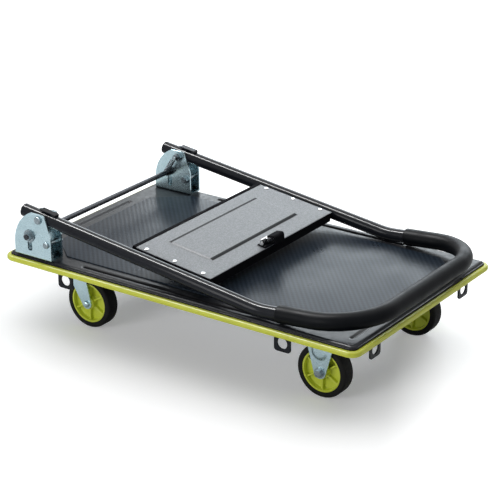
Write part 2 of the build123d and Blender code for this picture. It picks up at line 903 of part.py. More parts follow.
def make_strap_hooks():
    """Flat hooks on top of the legs, for an elastic strap."""
    seat = tube_radius - hook_sheet / 2
    under = tube_radius + hook_rise
    front = hook_length - hook_back
    outline = make_face(
        Polyline(
            (front - hook_foot, seat),
            (front, seat),
            (front, under + hook_sheet / 2),
            (front - hook_sheet, under + hook_sheet),
            (-hook_back, under + hook_sheet),
            (-hook_back, under),
            (front - hook_foot, under),
            close=True,
        ).edges()
    )
    hook = sheet_across(outline, -hook_width / 2, hook_width / 2)
    hook -= Rot(0, 90, 0) * Cylinder(tube_radius + running_fit, 2 * hook_length)
    return group([Pos(0, side * leg_y, 0) * hook for side in (-1, 1)])


# Panel between the legs

def screw_places():
    """Where the cover is screwed to the tray."""
    y = panel_width / 2 - screw_inset
    return [
        (panel_start + screw_start + i * screw_spacing, side * y)
        for side in (-1, 1)
        for i in range(3)
    ]


def panel_field(height):
    """The raised middle of the cover: a flat field with sloping sides."""
    middle = Pos(panel_start + panel_field_start + panel_field_length / 2, 0, 0)
    lean = math.degrees(math.atan2(panel_slope, height))
    face = RectangleRounded(panel_field_length, panel_field_width, panel_field_corner)
    return middle * extrude(face, height, taper=lean)


def make_panel_cover():
    """The pressed cover plate with its raised field."""
    low = panel_top - panel_sheet
    end = panel_start + panel_length
    cover = block(panel_start, end, -panel_width / 2, panel_width / 2, low, panel_top)
    cover += Pos(0, 0, panel_top) * panel_field(panel_rise)
    cover -= Pos(0, 0, low) * panel_field(panel_rise)
    for x, y in screw_places():
        cover -= rod_up(screw_radius + bolt_fit, low, panel_top, x, y)
    return cover


def make_panel_tray():
    """The shallow folded tray under the cover, with a ledge behind it and posts for the screws."""
    high = panel_top - panel_sheet
    low = high - tray_depth
    back = panel_start - tray_ledge
    end = panel_start + panel_length
    half = panel_width / 2
    t = tray_sheet
    tray = block(back, end, -half, half, low, high)
    tray -= block(back + t, end - t, -half + t, half - t, low + t, high - t)
    tray -= block(panel_start + 2 * t, end - t, -half + t, half - t, high - t, high)
    for x, y in screw_places():
        post = rod_up(post_radius, low + t, high, x, y)
        tray += post
        tray -= rod_up(screw_radius + running_fit, low + t, high, x, y)
    return tray


def make_panel_screws():
    """Pan-head screws along both sides of the cover."""
    low = panel_top - panel_sheet - tray_depth / 2
    screws = []
    for x, y in screw_places():
        head = rod_up(screw_head_radius, panel_top, panel_top + screw_head, x, y)
        rim = head.edges().filter_by(GeomType.CIRCLE).sort_by(Axis.Z)[-1]
        screws.append(fillet(rim, screw_head * full_round) + rod_up(screw_radius, low, panel_top, x, y))
    return group(screws)


def make_panel_saddles():
    """Welded saddles that carry the tray between the legs."""
    middle = panel_start + panel_length / 2
    half = saddle_height / 2
    saddles = []
    for side in (-1, 1):
        for x in (middle - saddle_spacing / 2, middle + saddle_spacing / 2):
            ys = sorted((side * panel_width / 2, side * (leg_y - tube_radius / 2)))
            saddle = block(x - saddle_length / 2, x + saddle_length / 2, *ys, -half, half)
            leg = Rot(0, 90, 0) * Cylinder(tube_radius + running_fit, 2 * saddle_length)
            saddle -= Pos(x, side * leg_y, 0) * leg
            saddles.append(saddle)
    return group(saddles)


# Spring clip on the front edge of the panel

clip_x = panel_start + panel_length - clip_inset
clip_z = panel_top + clip_rise


def make_clip_base():
    """The clip's foot: a flat plate with two ears for the pin."""
    half = clip_width / 2
    base = block(clip_x - clip_base_back, clip_x + clip_inset, -half, half, panel_top, panel_top + clip_sheet)
    ear = Pos(clip_x, clip_z) * Circle(clip_ear_radius)
    ear += Pos(clip_x, (panel_top + clip_z) / 2) * Rectangle(2 * clip_ear_radius, clip_z - panel_top)
    ear -= Pos(clip_x, clip_z) * Circle(clip_pin_radius + bolt_fit)
    cheek = sheet_across(ear, half - clip_ear, half)
    return base + cheek + mirrored(cheek)


def make_clip_pin():
    """The pin that the clip's jaw turns on."""
    half = clip_width / 2
    pin = rod_along_y(clip_pin_radius, -half, half, clip_x, clip_z)
    head = rod_along_y(clip_pin_radius + clip_pin_rim, half, half + clip_sheet, clip_x, clip_z)
    return pin + head + mirrored(head)


def wing_frame():
    """A frame along the jaw's raised wing, with its origin on the pin."""
    return Pos(clip_x, 0, clip_z) * Rot(0, -wing_angle, 0)


def make_clip_jaw():
    """The bright jaw: a barrel on the pin, a tongue down to the cover and a raised wing."""
    half = jaw_width / 2
    tip_z = panel_top + panel_rise + seat_gap - clip_z
    t = clip_sheet
    tongue = make_face(
        Polyline(
            (0, jaw_barrel - t),
            (-jaw_reach + jaw_curl, tip_z + t),
            (-jaw_reach, tip_z + 2 * t),
            (-jaw_reach - t, tip_z + t),
            (-jaw_reach + jaw_curl, tip_z),
            (-jaw_barrel, -t),
            (0, 0),
            close=True,
        ).edges()
    )
    jaw = Pos(clip_x, 0, clip_z) * sheet_across(tongue, -half, half)
    jaw += wing_frame() * block(0, jaw_wing, -half, half, jaw_barrel - t, jaw_barrel)
    jaw += rod_along_y(jaw_barrel, -half, half, clip_x, clip_z)
    return jaw - rod_along_y(clip_pin_radius + running_fit, -half, half, clip_x, clip_z)


def make_clip_pad():
    """The black thumb lever: it lies on the wing and turns down past the panel's edge."""
    low = pad_offset - pad_width / 2
    top = jaw_barrel + pad_thickness
    front = pad_front + pad_skirt
    outline = Polyline(
        (-pad_back, jaw_barrel),
        (pad_front, jaw_barrel),
        (pad_front, -pad_drop),
        (front, -pad_drop),
        (front, top),
        (-pad_back, top),
        close=True,
    )
    side = make_face(outline.edges())
    bends = [(front, top, pad_round), (pad_front, jaw_barrel, pad_round / 2), (-pad_back, top, pad_round / 2)]
    for x, z, radius in bends:
        side = fillet(side.vertices().sort_by_distance((x, z, 0))[0], radius)
    return wing_frame() * sheet_across(side, low, low + pad_width)


def make_clip_spring():
    """The torsion coil beside the jaw, with one leg on the base and one along the wing."""
    half = clip_width / 2
    start_y = -half + clip_ear + seat_gap + coil_wire / 2
    centre = Vector(clip_x, start_y, clip_z)

    def at(x, turns, z):
        return centre + Vector(x, coil_pitch * turns, z)

    r = coil_radius
    lean = Vector(0, coil_pitch / (2 * math.pi * r), 0)
    here = at(0, 0, -r)
    way = Vector(-1, 0, 0)
    edges = [Edge.make_line(here - way * coil_leg, here)]
    halves = 2 * coil_turns + 1
    for half_turn in range(1, halves + 1):
        side = 1 if half_turn % 2 else -1
        there = at(0, half_turn / 2, side * r)
        there_way = Vector(side, 0, 0)
        if half_turn < halves:
            there_way = (there_way + lean).normalized()
        edges += biarc(here, way, there, there_way)
        here = there
        way = there_way
    edges.append(Edge.make_line(here, here + way * coil_leg))
    print("clip spring, least gap to itself:", round(least_gap(edges, coil_wire), 2), "mm")
    return bent_wire(edges, coil_wire)


# The assembly, by sub-part name

parts = {
    "deck_pan": make_deck_pan(),
    "deck_mat": make_deck_mat(),
    "bumper": make_bumper(),
    "edge_trim": make_edge_trim(),
    "deck_stiffeners": make_stiffeners(),
    "tie_down_tabs": make_tie_down_tabs(),
    "bracket_bolts": make_base_bolts(),
    "bracket_nuts": make_base_nuts(),
    "caster_studs": make_caster_studs(),
    "caster_nuts": make_caster_nuts(),
    "release_rod": make_release_rod(),
    "rod_nuts": make_rod_nuts(),
}

far_bracket = make_hinge_bracket()
far_spring = make_return_spring()
for side_name, turned in (("near", mirrored), ("far", lambda shape: shape)):
    parts["hinge_bracket_" + side_name] = turned(far_bracket)
    parts["return_spring_" + side_name] = turned(far_spring)

pair_makers = {
    "pivot_bolts": make_pivot_bolt,
    "pivot_nuts": make_pivot_nut,
    "stop_bolts": make_stop_bolt,
    "stop_nuts": make_stop_nut,
}
for name, make in pair_makers.items():
    far_piece = make()
    parts[name] = group([mirrored(far_piece), far_piece])

rim = make_wheel_rim()
tyre = make_tyre()
sleeve = make_axle_sleeve()
fixed_axles = {"bolts": [], "nuts": [], "sleeves": []}
kingpins = []
for side_name, side in (("near", -1), ("far", 1)):
    y = side * caster_y
    fixed_axle = Pos(caster_x, y, wheel_radius)
    swivel_axle = Pos(-caster_x + swivel_trail, y, wheel_radius)
    parts["fixed_fork_" + side_name] = Pos(caster_x, y, 0) * make_fixed_fork()
    fixed_axles["bolts"].append(fixed_axle * make_axle_bolt(side, domed=False))
    fixed_axles["nuts"].append(fixed_axle * make_axle_nut(side))
    fixed_axles["sleeves"].append(fixed_axle * sleeve)
    parts["swivel_plate_" + side_name] = Pos(-caster_x, y, 0) * make_swivel_plate()
    parts["swivel_bearing_" + side_name] = Pos(-caster_x, y, 0) * make_swivel_bearing()
    parts["swivel_fork_" + side_name] = Pos(-caster_x, y, 0) * make_swivel_fork()
    parts["swivel_axle_bolt_" + side_name] = swivel_axle * make_axle_bolt(side, domed=True)
    parts["swivel_axle_nut_" + side_name] = swivel_axle * make_axle_nut(side)
    parts["swivel_axle_sleeve_" + side_name] = swivel_axle * sleeve
    kingpins.append(Pos(-caster_x, y, 0) * make_kingpin())
    for place_name, axle in (("fixed", fixed_axle), ("swivel", swivel_axle)):
        parts["wheel_rim_" + place_name + "_" + side_name] = axle * rim
        parts["tyre_" + place_name + "_" + side_name] = axle * tyre
for name, pieces in fixed_axles.items():
    parts["fixed_axle_" + name] = group(pieces)
parts["kingpins"] = group(kingpins)

handle_makers = {
    "handle_tube": make_handle_tube,
    "foam_grip": make_foam_grip,
    "tube_end_caps": make_end_caps,
    "pivot_sleeves": make_pivot_sleeves,
    "strap_hooks": make_strap_hooks,
    "panel_cover": make_panel_cover,
    "panel_tray": make_panel_tray,
    "panel_screws": make_panel_screws,
    "panel_saddles": make_panel_saddles,
    "clip_base": make_clip_base,
    "clip_pin": make_clip_pin,
    "clip_jaw": make_clip_jaw,
    "clip_pad": make_clip_pad,
    "clip_spring": make_clip_spring,
}
for name, make in handle_makers.items():
    parts[name] = handle_place * make()

for name, shape in parts.items():
    export_step(centred * shape, "parts/" + name + ".step")

print(len(parts), "sub-parts")
print("handle declines", round(decline, 3), "degrees; frame moved", round(-overhang / 2, 3), "mm in X")
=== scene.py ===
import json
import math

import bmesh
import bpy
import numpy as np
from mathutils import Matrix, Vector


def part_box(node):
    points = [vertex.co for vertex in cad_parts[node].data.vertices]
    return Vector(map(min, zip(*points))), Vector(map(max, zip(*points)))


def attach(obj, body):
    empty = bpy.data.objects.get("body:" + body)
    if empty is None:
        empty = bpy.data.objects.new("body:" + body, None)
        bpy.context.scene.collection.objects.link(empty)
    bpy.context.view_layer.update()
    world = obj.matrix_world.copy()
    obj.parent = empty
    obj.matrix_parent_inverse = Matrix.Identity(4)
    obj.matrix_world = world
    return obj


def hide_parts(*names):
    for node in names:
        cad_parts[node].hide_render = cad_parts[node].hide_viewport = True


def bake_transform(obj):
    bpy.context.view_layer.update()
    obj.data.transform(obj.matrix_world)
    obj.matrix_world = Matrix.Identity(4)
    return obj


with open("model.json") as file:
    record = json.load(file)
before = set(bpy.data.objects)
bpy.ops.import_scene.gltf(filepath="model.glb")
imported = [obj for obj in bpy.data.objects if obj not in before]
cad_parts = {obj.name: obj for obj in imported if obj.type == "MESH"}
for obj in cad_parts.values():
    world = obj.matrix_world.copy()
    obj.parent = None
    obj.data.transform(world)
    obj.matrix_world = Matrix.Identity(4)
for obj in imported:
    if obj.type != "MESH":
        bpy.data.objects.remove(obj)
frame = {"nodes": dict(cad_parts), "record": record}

# %% [markdown]
# # A folding platform cart, dressed over its CAD frame
# The cart lies folded on a pale floor. Its real sizes, bodies and joints come from the loaded frame, and
# this lesson adds what a camera sees: smooth tubes and pressed sheets in place of faceted ones, and a
# finish on every piece. Sizes of pieces are written in millimetres, because workshop sizes are easier to
# read that way, and turned into metres once, when a mesh is made.

MM = 0.001
FULL_TURN = 2 * math.pi
QUARTER_TURN = math.pi / 2
nodes = frame["nodes"]
scene = bpy.context.scene


def box_of(name):
    """The low and the high corner of a CAD node, in millimetres."""
    return tuple(np.array(corner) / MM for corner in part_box(name))


def middle_of(name):
    """The middle of a CAD node's box: half the sum of its corners."""
    return sum(box_of(name)) / 2


def unit(vectors):
    """Vectors divided by their own lengths."""
    vectors = np.asarray(vectors, float)
    return vectors / np.linalg.norm(vectors, axis=-1, keepdims=True)


def placed(side, up, out, where):
    """A placing matrix: its columns are three axes and a place, which comes in millimetres."""
    matrix = np.eye(4)
    matrix[:3, :3] = np.stack([side, up, out], axis=1)
    matrix[:3, 3] = np.asarray(where, float) * MM
    return Matrix(matrix.tolist())


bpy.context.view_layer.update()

# %% [markdown]
# ## The camera
# The photograph was taken from a long way off with a long lens, so the cart's far side is hardly
# smaller than its near side. A camera can be placed by hand until it looks right, or worked out from
# points whose real places are known. Here it was worked out: the wheels, deck corners and bolts gave
# an angle of about 35 degrees round the cart and 22 degrees above the floor.

# %% Camera at the photograph's place
AZIMUTH = math.radians(34.874)
ELEVATION = math.radians(22.238)
ROLL = math.radians(-0.18)
DISTANCE = 3385.3
TARGET = np.array([21.64, -23.8, 171.2])
SENSOR = 36.0
FOCAL_PIXELS = 1831.8
FRAME_PIXELS = 500

level = math.cos(ELEVATION)
back = np.array([math.sin(AZIMUTH) * level, -math.cos(AZIMUTH) * level, math.sin(ELEVATION)])
level_right = np.array([math.cos(AZIMUTH), math.sin(AZIMUTH), 0.0])
right = level_right * math.cos(ROLL) + np.cross(back, level_right) * math.sin(ROLL)
camera_place = TARGET + back * DISTANCE

lens = bpy.data.cameras.new("cart_camera")
lens.sensor_fit = "HORIZONTAL"
lens.sensor_width = SENSOR
lens.lens = SENSOR * (FOCAL_PIXELS / FRAME_PIXELS)
lens.clip_end = 50.0
camera = bpy.data.objects.new("cart_camera", lens)
camera.matrix_world = placed(right, np.cross(back, right), back, camera_place)
scene.collection.objects.link(camera)
bpy.context.scene.camera = camera
print("camera at", camera_place.round(), "mm, lens", round(lens.lens, 1), "mm")

# %% [markdown]
# ## Light
# A product studio lights black metal by what it mirrors. A wide soft box overhead gives the even light
# and the soft shadow. A low, slightly blue box with a brighter strip stands behind the cart, and its
# mirror image lies as a sheen on the deck, the mat and the panel. A narrow box overhead shows in gloss
# alone and draws thin pale lines along the tubes, and a box at the near side fills the fronts. The walls
# are white, so the world is white wherever the camera, gloss or glass sees it, but it lights rough
# surfaces only gently, which keeps written colours true.


# %% Helpers for node trees
def add_node(tree, kind, **settings):
    """One more node in a tree, with its properties set."""
    node = tree.nodes.new(kind)
    for key, value in settings.items():
        setattr(node, key, value)
    return node


def ranged(tree, value, source, target):
    """A value carried in proportion from one (low, high) range into another, and held within it."""
    node = add_node(tree, "ShaderNodeMapRange")
    sockets = ("From Min", "From Max", "To Min", "To Max")
    for socket, number in zip(sockets, (*source, *target)):
        node.inputs[socket].default_value = number
    tree.links.new(value, node.inputs["Value"])
    return node.outputs["Result"]


def wire(tree, pairs):
    """Links from an output to an input, one for each pair."""
    for source, target in pairs:
        tree.links.new(source, target)


print("node helpers:", [helper.__name__ for helper in (add_node, ranged, wire)])


# %% World: white to look at, gentle to light with
scene.view_settings.view_transform = "Standard"
world = bpy.data.worlds.new("white_studio")
scene.world = world
world.use_nodes = True
sky = world.node_tree
sky.nodes.clear()


def background(colour, strength):
    """A background of one colour and strength."""
    node = add_node(sky, "ShaderNodeBackground")
    node.inputs["Color"].default_value = (*colour, 1.0)
    node.inputs["Strength"].default_value = strength
    return node.outputs[0]


ray = add_node(sky, "ShaderNodeLightPath").outputs
camera_or_gloss = add_node(sky, "ShaderNodeMath", operation="MAXIMUM")
any_of_three = add_node(sky, "ShaderNodeMath", operation="MAXIMUM")
choose = add_node(sky, "ShaderNodeMixShader")
world_out = add_node(sky, "ShaderNodeOutputWorld")
wire(
    sky,
    [
        (ray["Is Camera Ray"], camera_or_gloss.inputs[0]),
        (ray["Is Glossy Ray"], camera_or_gloss.inputs[1]),
        (camera_or_gloss.outputs[0], any_of_three.inputs[0]),
        (ray["Is Transmission Ray"], any_of_three.inputs[1]),
        (any_of_three.outputs[0], choose.inputs["Fac"]),
        (background((0.95, 0.98, 1.0), 0.15), choose.inputs[1]),
        (background((1.0, 1.0, 1.0), 1.0), choose.inputs[2]),
        (choose.outputs[0], world_out.inputs["Surface"]),
    ],
)
print("world:", world.name, "with", len(sky.nodes), "nodes")


# %% Soft boxes
def soft_box(name, where, aim, wide, high, power, tint=(1.0, 1.0, 1.0)):
    """A rectangular lamp that faces from one point to another, both in millimetres."""
    lamp = bpy.data.lights.new(name, "AREA")
    lamp.shape = "RECTANGLE"
    lamp.size = wide * MM
    lamp.size_y = high * MM
    lamp.energy = power
    lamp.color = tint
    box = bpy.data.objects.new(name, lamp)
    out = unit(np.subtract(where, aim))
    side = unit(np.cross([0.0, 0.0, 1.0], out))
    box.matrix_world = placed(side, np.cross(out, side), out, where)
    box.visible_camera = False
    scene.collection.objects.link(box)
    return box


BLUISH = (0.85, 0.94, 1.0)
GRIP_SIDE = (820, 572, 150)
soft_box("top_box", (-300, 600, 2800), (0, 0, 150), 4600, 3600, 80.0)
soft_box("back_box", (-680, 2722, 1150), GRIP_SIDE, 2700, 1300, 20.0, BLUISH)
soft_box("back_strip", (-680, 2722, 1100), GRIP_SIDE, 2700, 450, 18.0, BLUISH)
gleam_box = soft_box("gleam_box", (-1450, -200, 2800), (100, 50, 200), 450, 1600, 150.0)
gleam_box.visible_diffuse = False
soft_box("side_box", (-700, -2900, 1000), (0, 0, 120), 1500, 1500, 34.0)

# %% [markdown]
# ## The floor
# The floor is white paper that keeps the cart's shadow. Lit paper alone comes out grey, and brighter
# lamps would bleach the cart, so the paper also glows a little where the camera sees it: more with the
# distance from the cart, counted in half lengths and half widths of its footprint, and more on the open
# side past the grip. Sizes in these nodes are metres, as all node coordinates are.

# %% Floor: white to the camera, with the shadow kept
FLOOR_HALF = 30.0
FOOTPRINT_HALF = (0.40, 0.245)
PAST_GRIP = (1.0, 0.5, 0.0)
floor_corners = [(-1, -1), (1, -1), (1, 1), (-1, 1)]
floor_points = [(x * FLOOR_HALF, y * FLOOR_HALF, 0) for x, y in floor_corners]
floor_mesh = bpy.data.meshes.new("studio_floor")
floor_mesh.from_pydata(floor_points, [], [(0, 1, 2, 3)])
floor = bpy.data.objects.new("studio_floor", floor_mesh)
scene.collection.objects.link(floor)

paper = bpy.data.materials.new("studio_paper")
paper.use_nodes = True
paper_tree = paper.node_tree
paper_tree.nodes.clear()
matt = add_node(paper_tree, "ShaderNodeBsdfDiffuse")
matt.inputs["Color"].default_value = (0.9, 0.9, 0.905, 1.0)
floor_place = add_node(paper_tree, "ShaderNodeTexCoord").outputs["Object"]
seen = add_node(paper_tree, "ShaderNodeLightPath").outputs["Is Camera Ray"]
footprints = add_node(paper_tree, "ShaderNodeMapping")
footprints.inputs["Scale"].default_value = (1 / FOOTPRINT_HALF[0], 1 / FOOTPRINT_HALF[1], 0.0)
distance = add_node(paper_tree, "ShaderNodeVectorMath", operation="LENGTH")
past_grip = add_node(paper_tree, "ShaderNodeVectorMath", operation="DOT_PRODUCT")
past_grip.inputs[1].default_value = PAST_GRIP
whole_glow = add_node(paper_tree, "ShaderNodeMath", operation="ADD", use_clamp=True)
seen_glow = add_node(paper_tree, "ShaderNodeMath", operation="MULTIPLY")
glow = add_node(paper_tree, "ShaderNodeEmission")
both = add_node(paper_tree, "ShaderNodeAddShader")
paper_out = add_node(paper_tree, "ShaderNodeOutputMaterial")
far_glow = ranged(paper_tree, distance.outputs["Value"], (1.1, 4.5), (0.25, 1.0))
open_glow = ranged(paper_tree, past_grip.outputs["Value"], (0.32, 0.43), (0.0, 0.27))
wire(
    paper_tree,
    [
        (floor_place, footprints.inputs["Vector"]),
        (footprints.outputs[0], distance.inputs[0]),
        (floor_place, past_grip.inputs[0]),
        (far_glow, whole_glow.inputs[0]),
        (open_glow, whole_glow.inputs[1]),
        (seen, seen_glow.inputs[0]),
        (whole_glow.outputs[0], seen_glow.inputs[1]),
        (seen_glow.outputs[0], glow.inputs["Strength"]),
        (matt.outputs[0], both.inputs[0]),
        (glow.outputs[0], both.inputs[1]),
        (both.outputs[0], paper_out.inputs["Surface"]),
    ],
)
floor_mesh.materials.append(paper)
print("floor side:", 2 * FLOOR_HALF, "m")

# %% [markdown]
# ## Finishes
# Every finish is a small node tree on one Principled shader. Patterns read Object coordinates. Because
# every piece sits at the origin, those are the cart's own metres, so a grain has one true size on all
# pieces. A few helpers keep the trees short: one makes a noise, one turns it into a range of values,
# one mixes two colours by it, and one adds a bump.


# %% Helpers for finishes
class Finish:
    """A material with one Principled shader, and short calls that add nodes to it."""

    def __init__(self, name, colour, roughness, metallic=0.0, **sockets):
        self.material = bpy.data.materials.new(name)
        self.material.use_nodes = True
        self.tree = self.material.node_tree
        self.shader = self.tree.nodes["Principled BSDF"]
        self.shader.inputs["Base Color"].default_value = (*colour, 1.0)
        self.shader.inputs["Roughness"].default_value = roughness
        self.shader.inputs["Metallic"].default_value = metallic
        for socket, value in sockets.items():
            self.shader.inputs[socket.replace("_", " ")].default_value = value
        self.where = self.node("ShaderNodeTexCoord").outputs["Object"]

    def node(self, kind, **settings):
        """One more node of this finish."""
        return add_node(self.tree, kind, **settings)

    def join(self, source, target):
        """One link."""
        self.tree.links.new(source, target)

    def noise(self, scale, detail=2.0, stretch=(1, 1, 1)):
        """Soft noise with that many cells to a metre."""
        mapping = self.node("ShaderNodeMapping")
        mapping.inputs["Scale"].default_value = stretch
        self.join(self.where, mapping.inputs["Vector"])
        noise = self.node("ShaderNodeTexNoise")
        noise.inputs["Scale"].default_value = scale
        noise.inputs["Detail"].default_value = detail
        self.join(mapping.outputs[0], noise.inputs["Vector"])
        return noise.outputs["Fac"]

    def cells(self, scale, smooth=0.6):
        """Rounded cells with that many to a metre: 0 in a cell's middle."""
        cells = self.node("ShaderNodeTexVoronoi", feature="SMOOTH_F1")
        cells.inputs["Scale"].default_value = scale
        cells.inputs["Smoothness"].default_value = smooth
        self.join(self.where, cells.inputs["Vector"])
        return cells.outputs["Distance"]

    def span(self, value, low, high, at_low=0.3, at_high=0.7):
        """A value carried into a range; the ends that it comes from suit a noise."""
        return ranged(self.tree, value, (at_low, at_high), (low, high))

    def maths(self, operation, first, second):
        """Two values, or a value and a number, put through one sum."""
        node = self.node("ShaderNodeMath", operation=operation)
        self.join(first, node.inputs[0])
        if isinstance(second, (int, float)):
            node.inputs[1].default_value = second
        else:
            self.join(second, node.inputs[1])
        return node.outputs[0]

    def colours(self, value, first, second):
        """The base colour runs from one colour to another with a value."""
        mix = self.node("ShaderNodeMix", data_type="RGBA")
        mix.inputs["A"].default_value = (*first, 1.0)
        mix.inputs["B"].default_value = (*second, 1.0)
        self.join(value, mix.inputs["Factor"])
        self.join(mix.outputs["Result"], self.shader.inputs["Base Color"])

    def laid_over(self, value, colour):
        """Another colour laid over the base colour wherever a value is 1."""
        below = self.shader.inputs["Base Color"].links[0].from_socket
        mix = self.node("ShaderNodeMix", data_type="RGBA")
        mix.inputs["B"].default_value = (*colour, 1.0)
        self.join(below, mix.inputs["A"])
        self.join(value, mix.inputs["Factor"])
        self.join(mix.outputs["Result"], self.shader.inputs["Base Color"])

    def gloss(self, value, low, high):
        """The roughness runs between two numbers with a noise."""
        self.join(self.span(value, low, high), self.shader.inputs["Roughness"])

    def painted_shade_mark(self, attribute, colour, dullness=0.95):
        """Painted shade where the mesh's own attribute is 1: a dark colour, and the greater of two
        roughnesses.
        """
        mark = self.node("ShaderNodeAttribute", attribute_name=attribute).outputs["Fac"]
        self.laid_over(mark, colour)
        roughness = self.shader.inputs["Roughness"]
        plain = roughness.links[0].from_socket
        self.join(self.maths("MAXIMUM", plain, self.maths("MULTIPLY", mark, dullness)), roughness)

    def bump(self, value, height, strength=1.0):
        """A bump whose full height is in millimetres."""
        bump = self.node("ShaderNodeBump")
        bump.inputs["Strength"].default_value = strength
        bump.inputs["Distance"].default_value = height * MM
        self.join(value, bump.inputs["Height"])
        self.join(bump.outputs["Normal"], self.shader.inputs["Normal"])


print("calls of a finish:", [call for call in vars(Finish) if not call.startswith("_")])

# %% [markdown]
# ### Black powder coat
# Tube, tabs and deck are sprayed with black powder and baked. The powder melts into a skin with a faint
# ripple, glossiest on the tube and duller on the wide deck. In the deck's two long beads a painted shade
# makes the coat dark and dull, and a mark on the sheet's own mesh says where. The panel's tray has a matt
# coat. A ripple this fine is left to a bump, because a mesh would need many points to show it.

# %% Black coats
tube_coat = Finish("black_tube_coat", (0.010, 0.012, 0.016), 0.3, Specular_IOR_Level=0.14)
tube_coat.colours(tube_coat.noise(35, 3), (0.007, 0.008, 0.011), (0.014, 0.016, 0.021))
tube_coat.gloss(tube_coat.noise(120, 4), 0.07, 0.14)
tube_coat.bump(tube_coat.noise(320, 2), 0.035)

deck_coat = Finish("black_deck_coat", (0.011, 0.011, 0.012), 0.2, Specular_IOR_Level=0.19)
deck_coat.colours(deck_coat.noise(20, 4), (0.009, 0.010, 0.012), (0.016, 0.018, 0.022))
deck_coat.gloss(deck_coat.noise(90, 4), 0.28, 0.4)
# Painted shade in the long beads: a near-black colour and a high roughness where the mark is.
deck_coat.painted_shade_mark("bead_painted_shade", (0.002, 0.002, 0.003))
deck_coat.bump(deck_coat.noise(500, 1), 0.02)

tray_coat = Finish("matt_tray_coat", (0.006, 0.006, 0.007), 0.7, Specular_IOR_Level=0.02)
tray_coat.colours(tray_coat.noise(30, 3), (0.004, 0.004, 0.005), (0.009, 0.009, 0.011))
tray_coat.gloss(tray_coat.noise(90, 3), 0.62, 0.8)
tray_coat.bump(tray_coat.noise(600, 2), 0.03)
print("black coats:", tube_coat.material.name, deck_coat.material.name, tray_coat.material.name)

# %% [markdown]
# ### The mat
# The deck wears a thin rubber mat embossed with slanting ribs, 8.4 millimetres apart, and a fainter set
# that crosses them. Each set is a sine wave that runs at 41.5 degrees to the deck's length, one to either
# side. The two waves are added with unequal weights, so that one set leads, as it does on the real mat.

# %% Ribbed mat
PITCH = 8.4 * MM
LEAN = math.radians(41.5)
LEAD_SHARE = 0.72
WAVES = FULL_TURN / PITCH
mat_rubber = Finish("diamond_mat", (0.06, 0.062, 0.068), 0.5, Specular_IOR_Level=0.09)
split = mat_rubber.node("ShaderNodeSeparateXYZ")
mat_rubber.join(mat_rubber.where, split.inputs[0])
down_deck = mat_rubber.maths("MULTIPLY", split.outputs["X"], WAVES * math.cos(LEAN))
over_deck = mat_rubber.maths("MULTIPLY", split.outputs["Y"], WAVES * math.sin(LEAN))
ribs_both_ways = []
for operation, share in (("ADD", LEAD_SHARE), ("SUBTRACT", 1 - LEAD_SHARE)):
    wave = mat_rubber.maths("SINE", mat_rubber.maths(operation, down_deck, over_deck), 0)
    ribs_both_ways.append(mat_rubber.maths("MULTIPLY", wave, share))
pillow = mat_rubber.maths("ADD", *ribs_both_ways)
grain = mat_rubber.maths("MULTIPLY", mat_rubber.noise(1400, 2), 0.25)
rib_tint = mat_rubber.span(pillow, 0, 1, -0.8, 0.8)
mat_rubber.colours(rib_tint, (0.009, 0.0145, 0.022), (0.023, 0.033, 0.047))
mat_rubber.gloss(mat_rubber.noise(15, 3), 0.27, 0.38)
mat_rubber.bump(mat_rubber.maths("ADD", pillow, grain), 0.045)
print("mat pattern pitch:", round(PITCH / MM, 1), "mm")

# %% [markdown]
# ### Lime mouldings
# The edge strip is soft vinyl, the wheel centres are hard nylon. Both carry the same lime pigment, with
# slightly uneven colour as pigment always has, and the nylon is the glossier of the two. Two finishes are
# needed, because the size of the mottle and the gloss differ although the colour is one.

# %% Lime finishes
lime_edge = Finish("lime_edge_vinyl", (0.55, 0.62, 0.045), 0.4, IOR=1.48)
lime_edge.colours(lime_edge.noise(9, 3), (0.50, 0.545, 0.035), (0.60, 0.62, 0.055))
lime_edge.gloss(lime_edge.noise(60, 3), 0.34, 0.46)
lime_edge.bump(lime_edge.noise(350, 2), 0.03)

lime_nylon = Finish("lime_wheel_nylon", (0.56, 0.62, 0.045), 0.35, IOR=1.5)
lime_nylon.colours(lime_nylon.noise(30, 3), (0.50, 0.57, 0.035), (0.61, 0.67, 0.06))
lime_nylon.gloss(lime_nylon.noise(110, 3), 0.28, 0.42)
lime_nylon.bump(lime_nylon.noise(600, 2), 0.02)
print("lime finishes:", lime_edge.material.name, lime_nylon.material.name)

# %% [markdown]
# ### Zinc plate and steel
# Brackets and forks are pressed from sheet and zinc plated, which leaves a pale blue metal with a faint
# cloudy mottle and fine rolling lines. Inside the brackets ambient occlusion lays a painted shade, a dark
# tone, into their corners. Bolts are blotchy and duller, screws and the clip's jaw are bright, and the
# release rod and return springs are dark drawn steel.

# %% Zinc plate
ZINC_TONES = ((0.41, 0.56, 0.61), (0.56, 0.71, 0.76))
ROLLED_LINES = (1, 1, 6)
FINE_LINES = (1, 1, 5)
zinc = Finish("blue_zinc_plate", (0.50, 0.61, 0.65), 0.34, metallic=1.0)
zinc.colours(zinc.noise(55, 4), *ZINC_TONES)
zinc.gloss(zinc.noise(200, 4, ROLLED_LINES), 0.18, 0.32)
zinc.bump(zinc.noise(700, 3, FINE_LINES), 0.015)

shaded_bracket_zinc = Finish("bracket_zinc_plate", (0.50, 0.61, 0.65), 0.34, metallic=1.0)
shaded_bracket_zinc.colours(shaded_bracket_zinc.noise(55, 4), *ZINC_TONES)
# Painted shade: ambient occlusion lays a dark tone into the brackets' inside corners.
corner_occlusion = shaded_bracket_zinc.node("ShaderNodeAmbientOcclusion", samples=24)
corner_occlusion.inputs["Distance"].default_value = 30 * MM
painted_corner_shade = shaded_bracket_zinc.span(corner_occlusion.outputs["AO"], 1, 0, 0.35, 0.75)
shaded_bracket_zinc.laid_over(painted_corner_shade, (0.045, 0.07, 0.082))
shaded_bracket_zinc.gloss(shaded_bracket_zinc.noise(200, 4, ROLLED_LINES), 0.22, 0.3)
shaded_bracket_zinc.bump(shaded_bracket_zinc.noise(700, 3, FINE_LINES), 0.006)

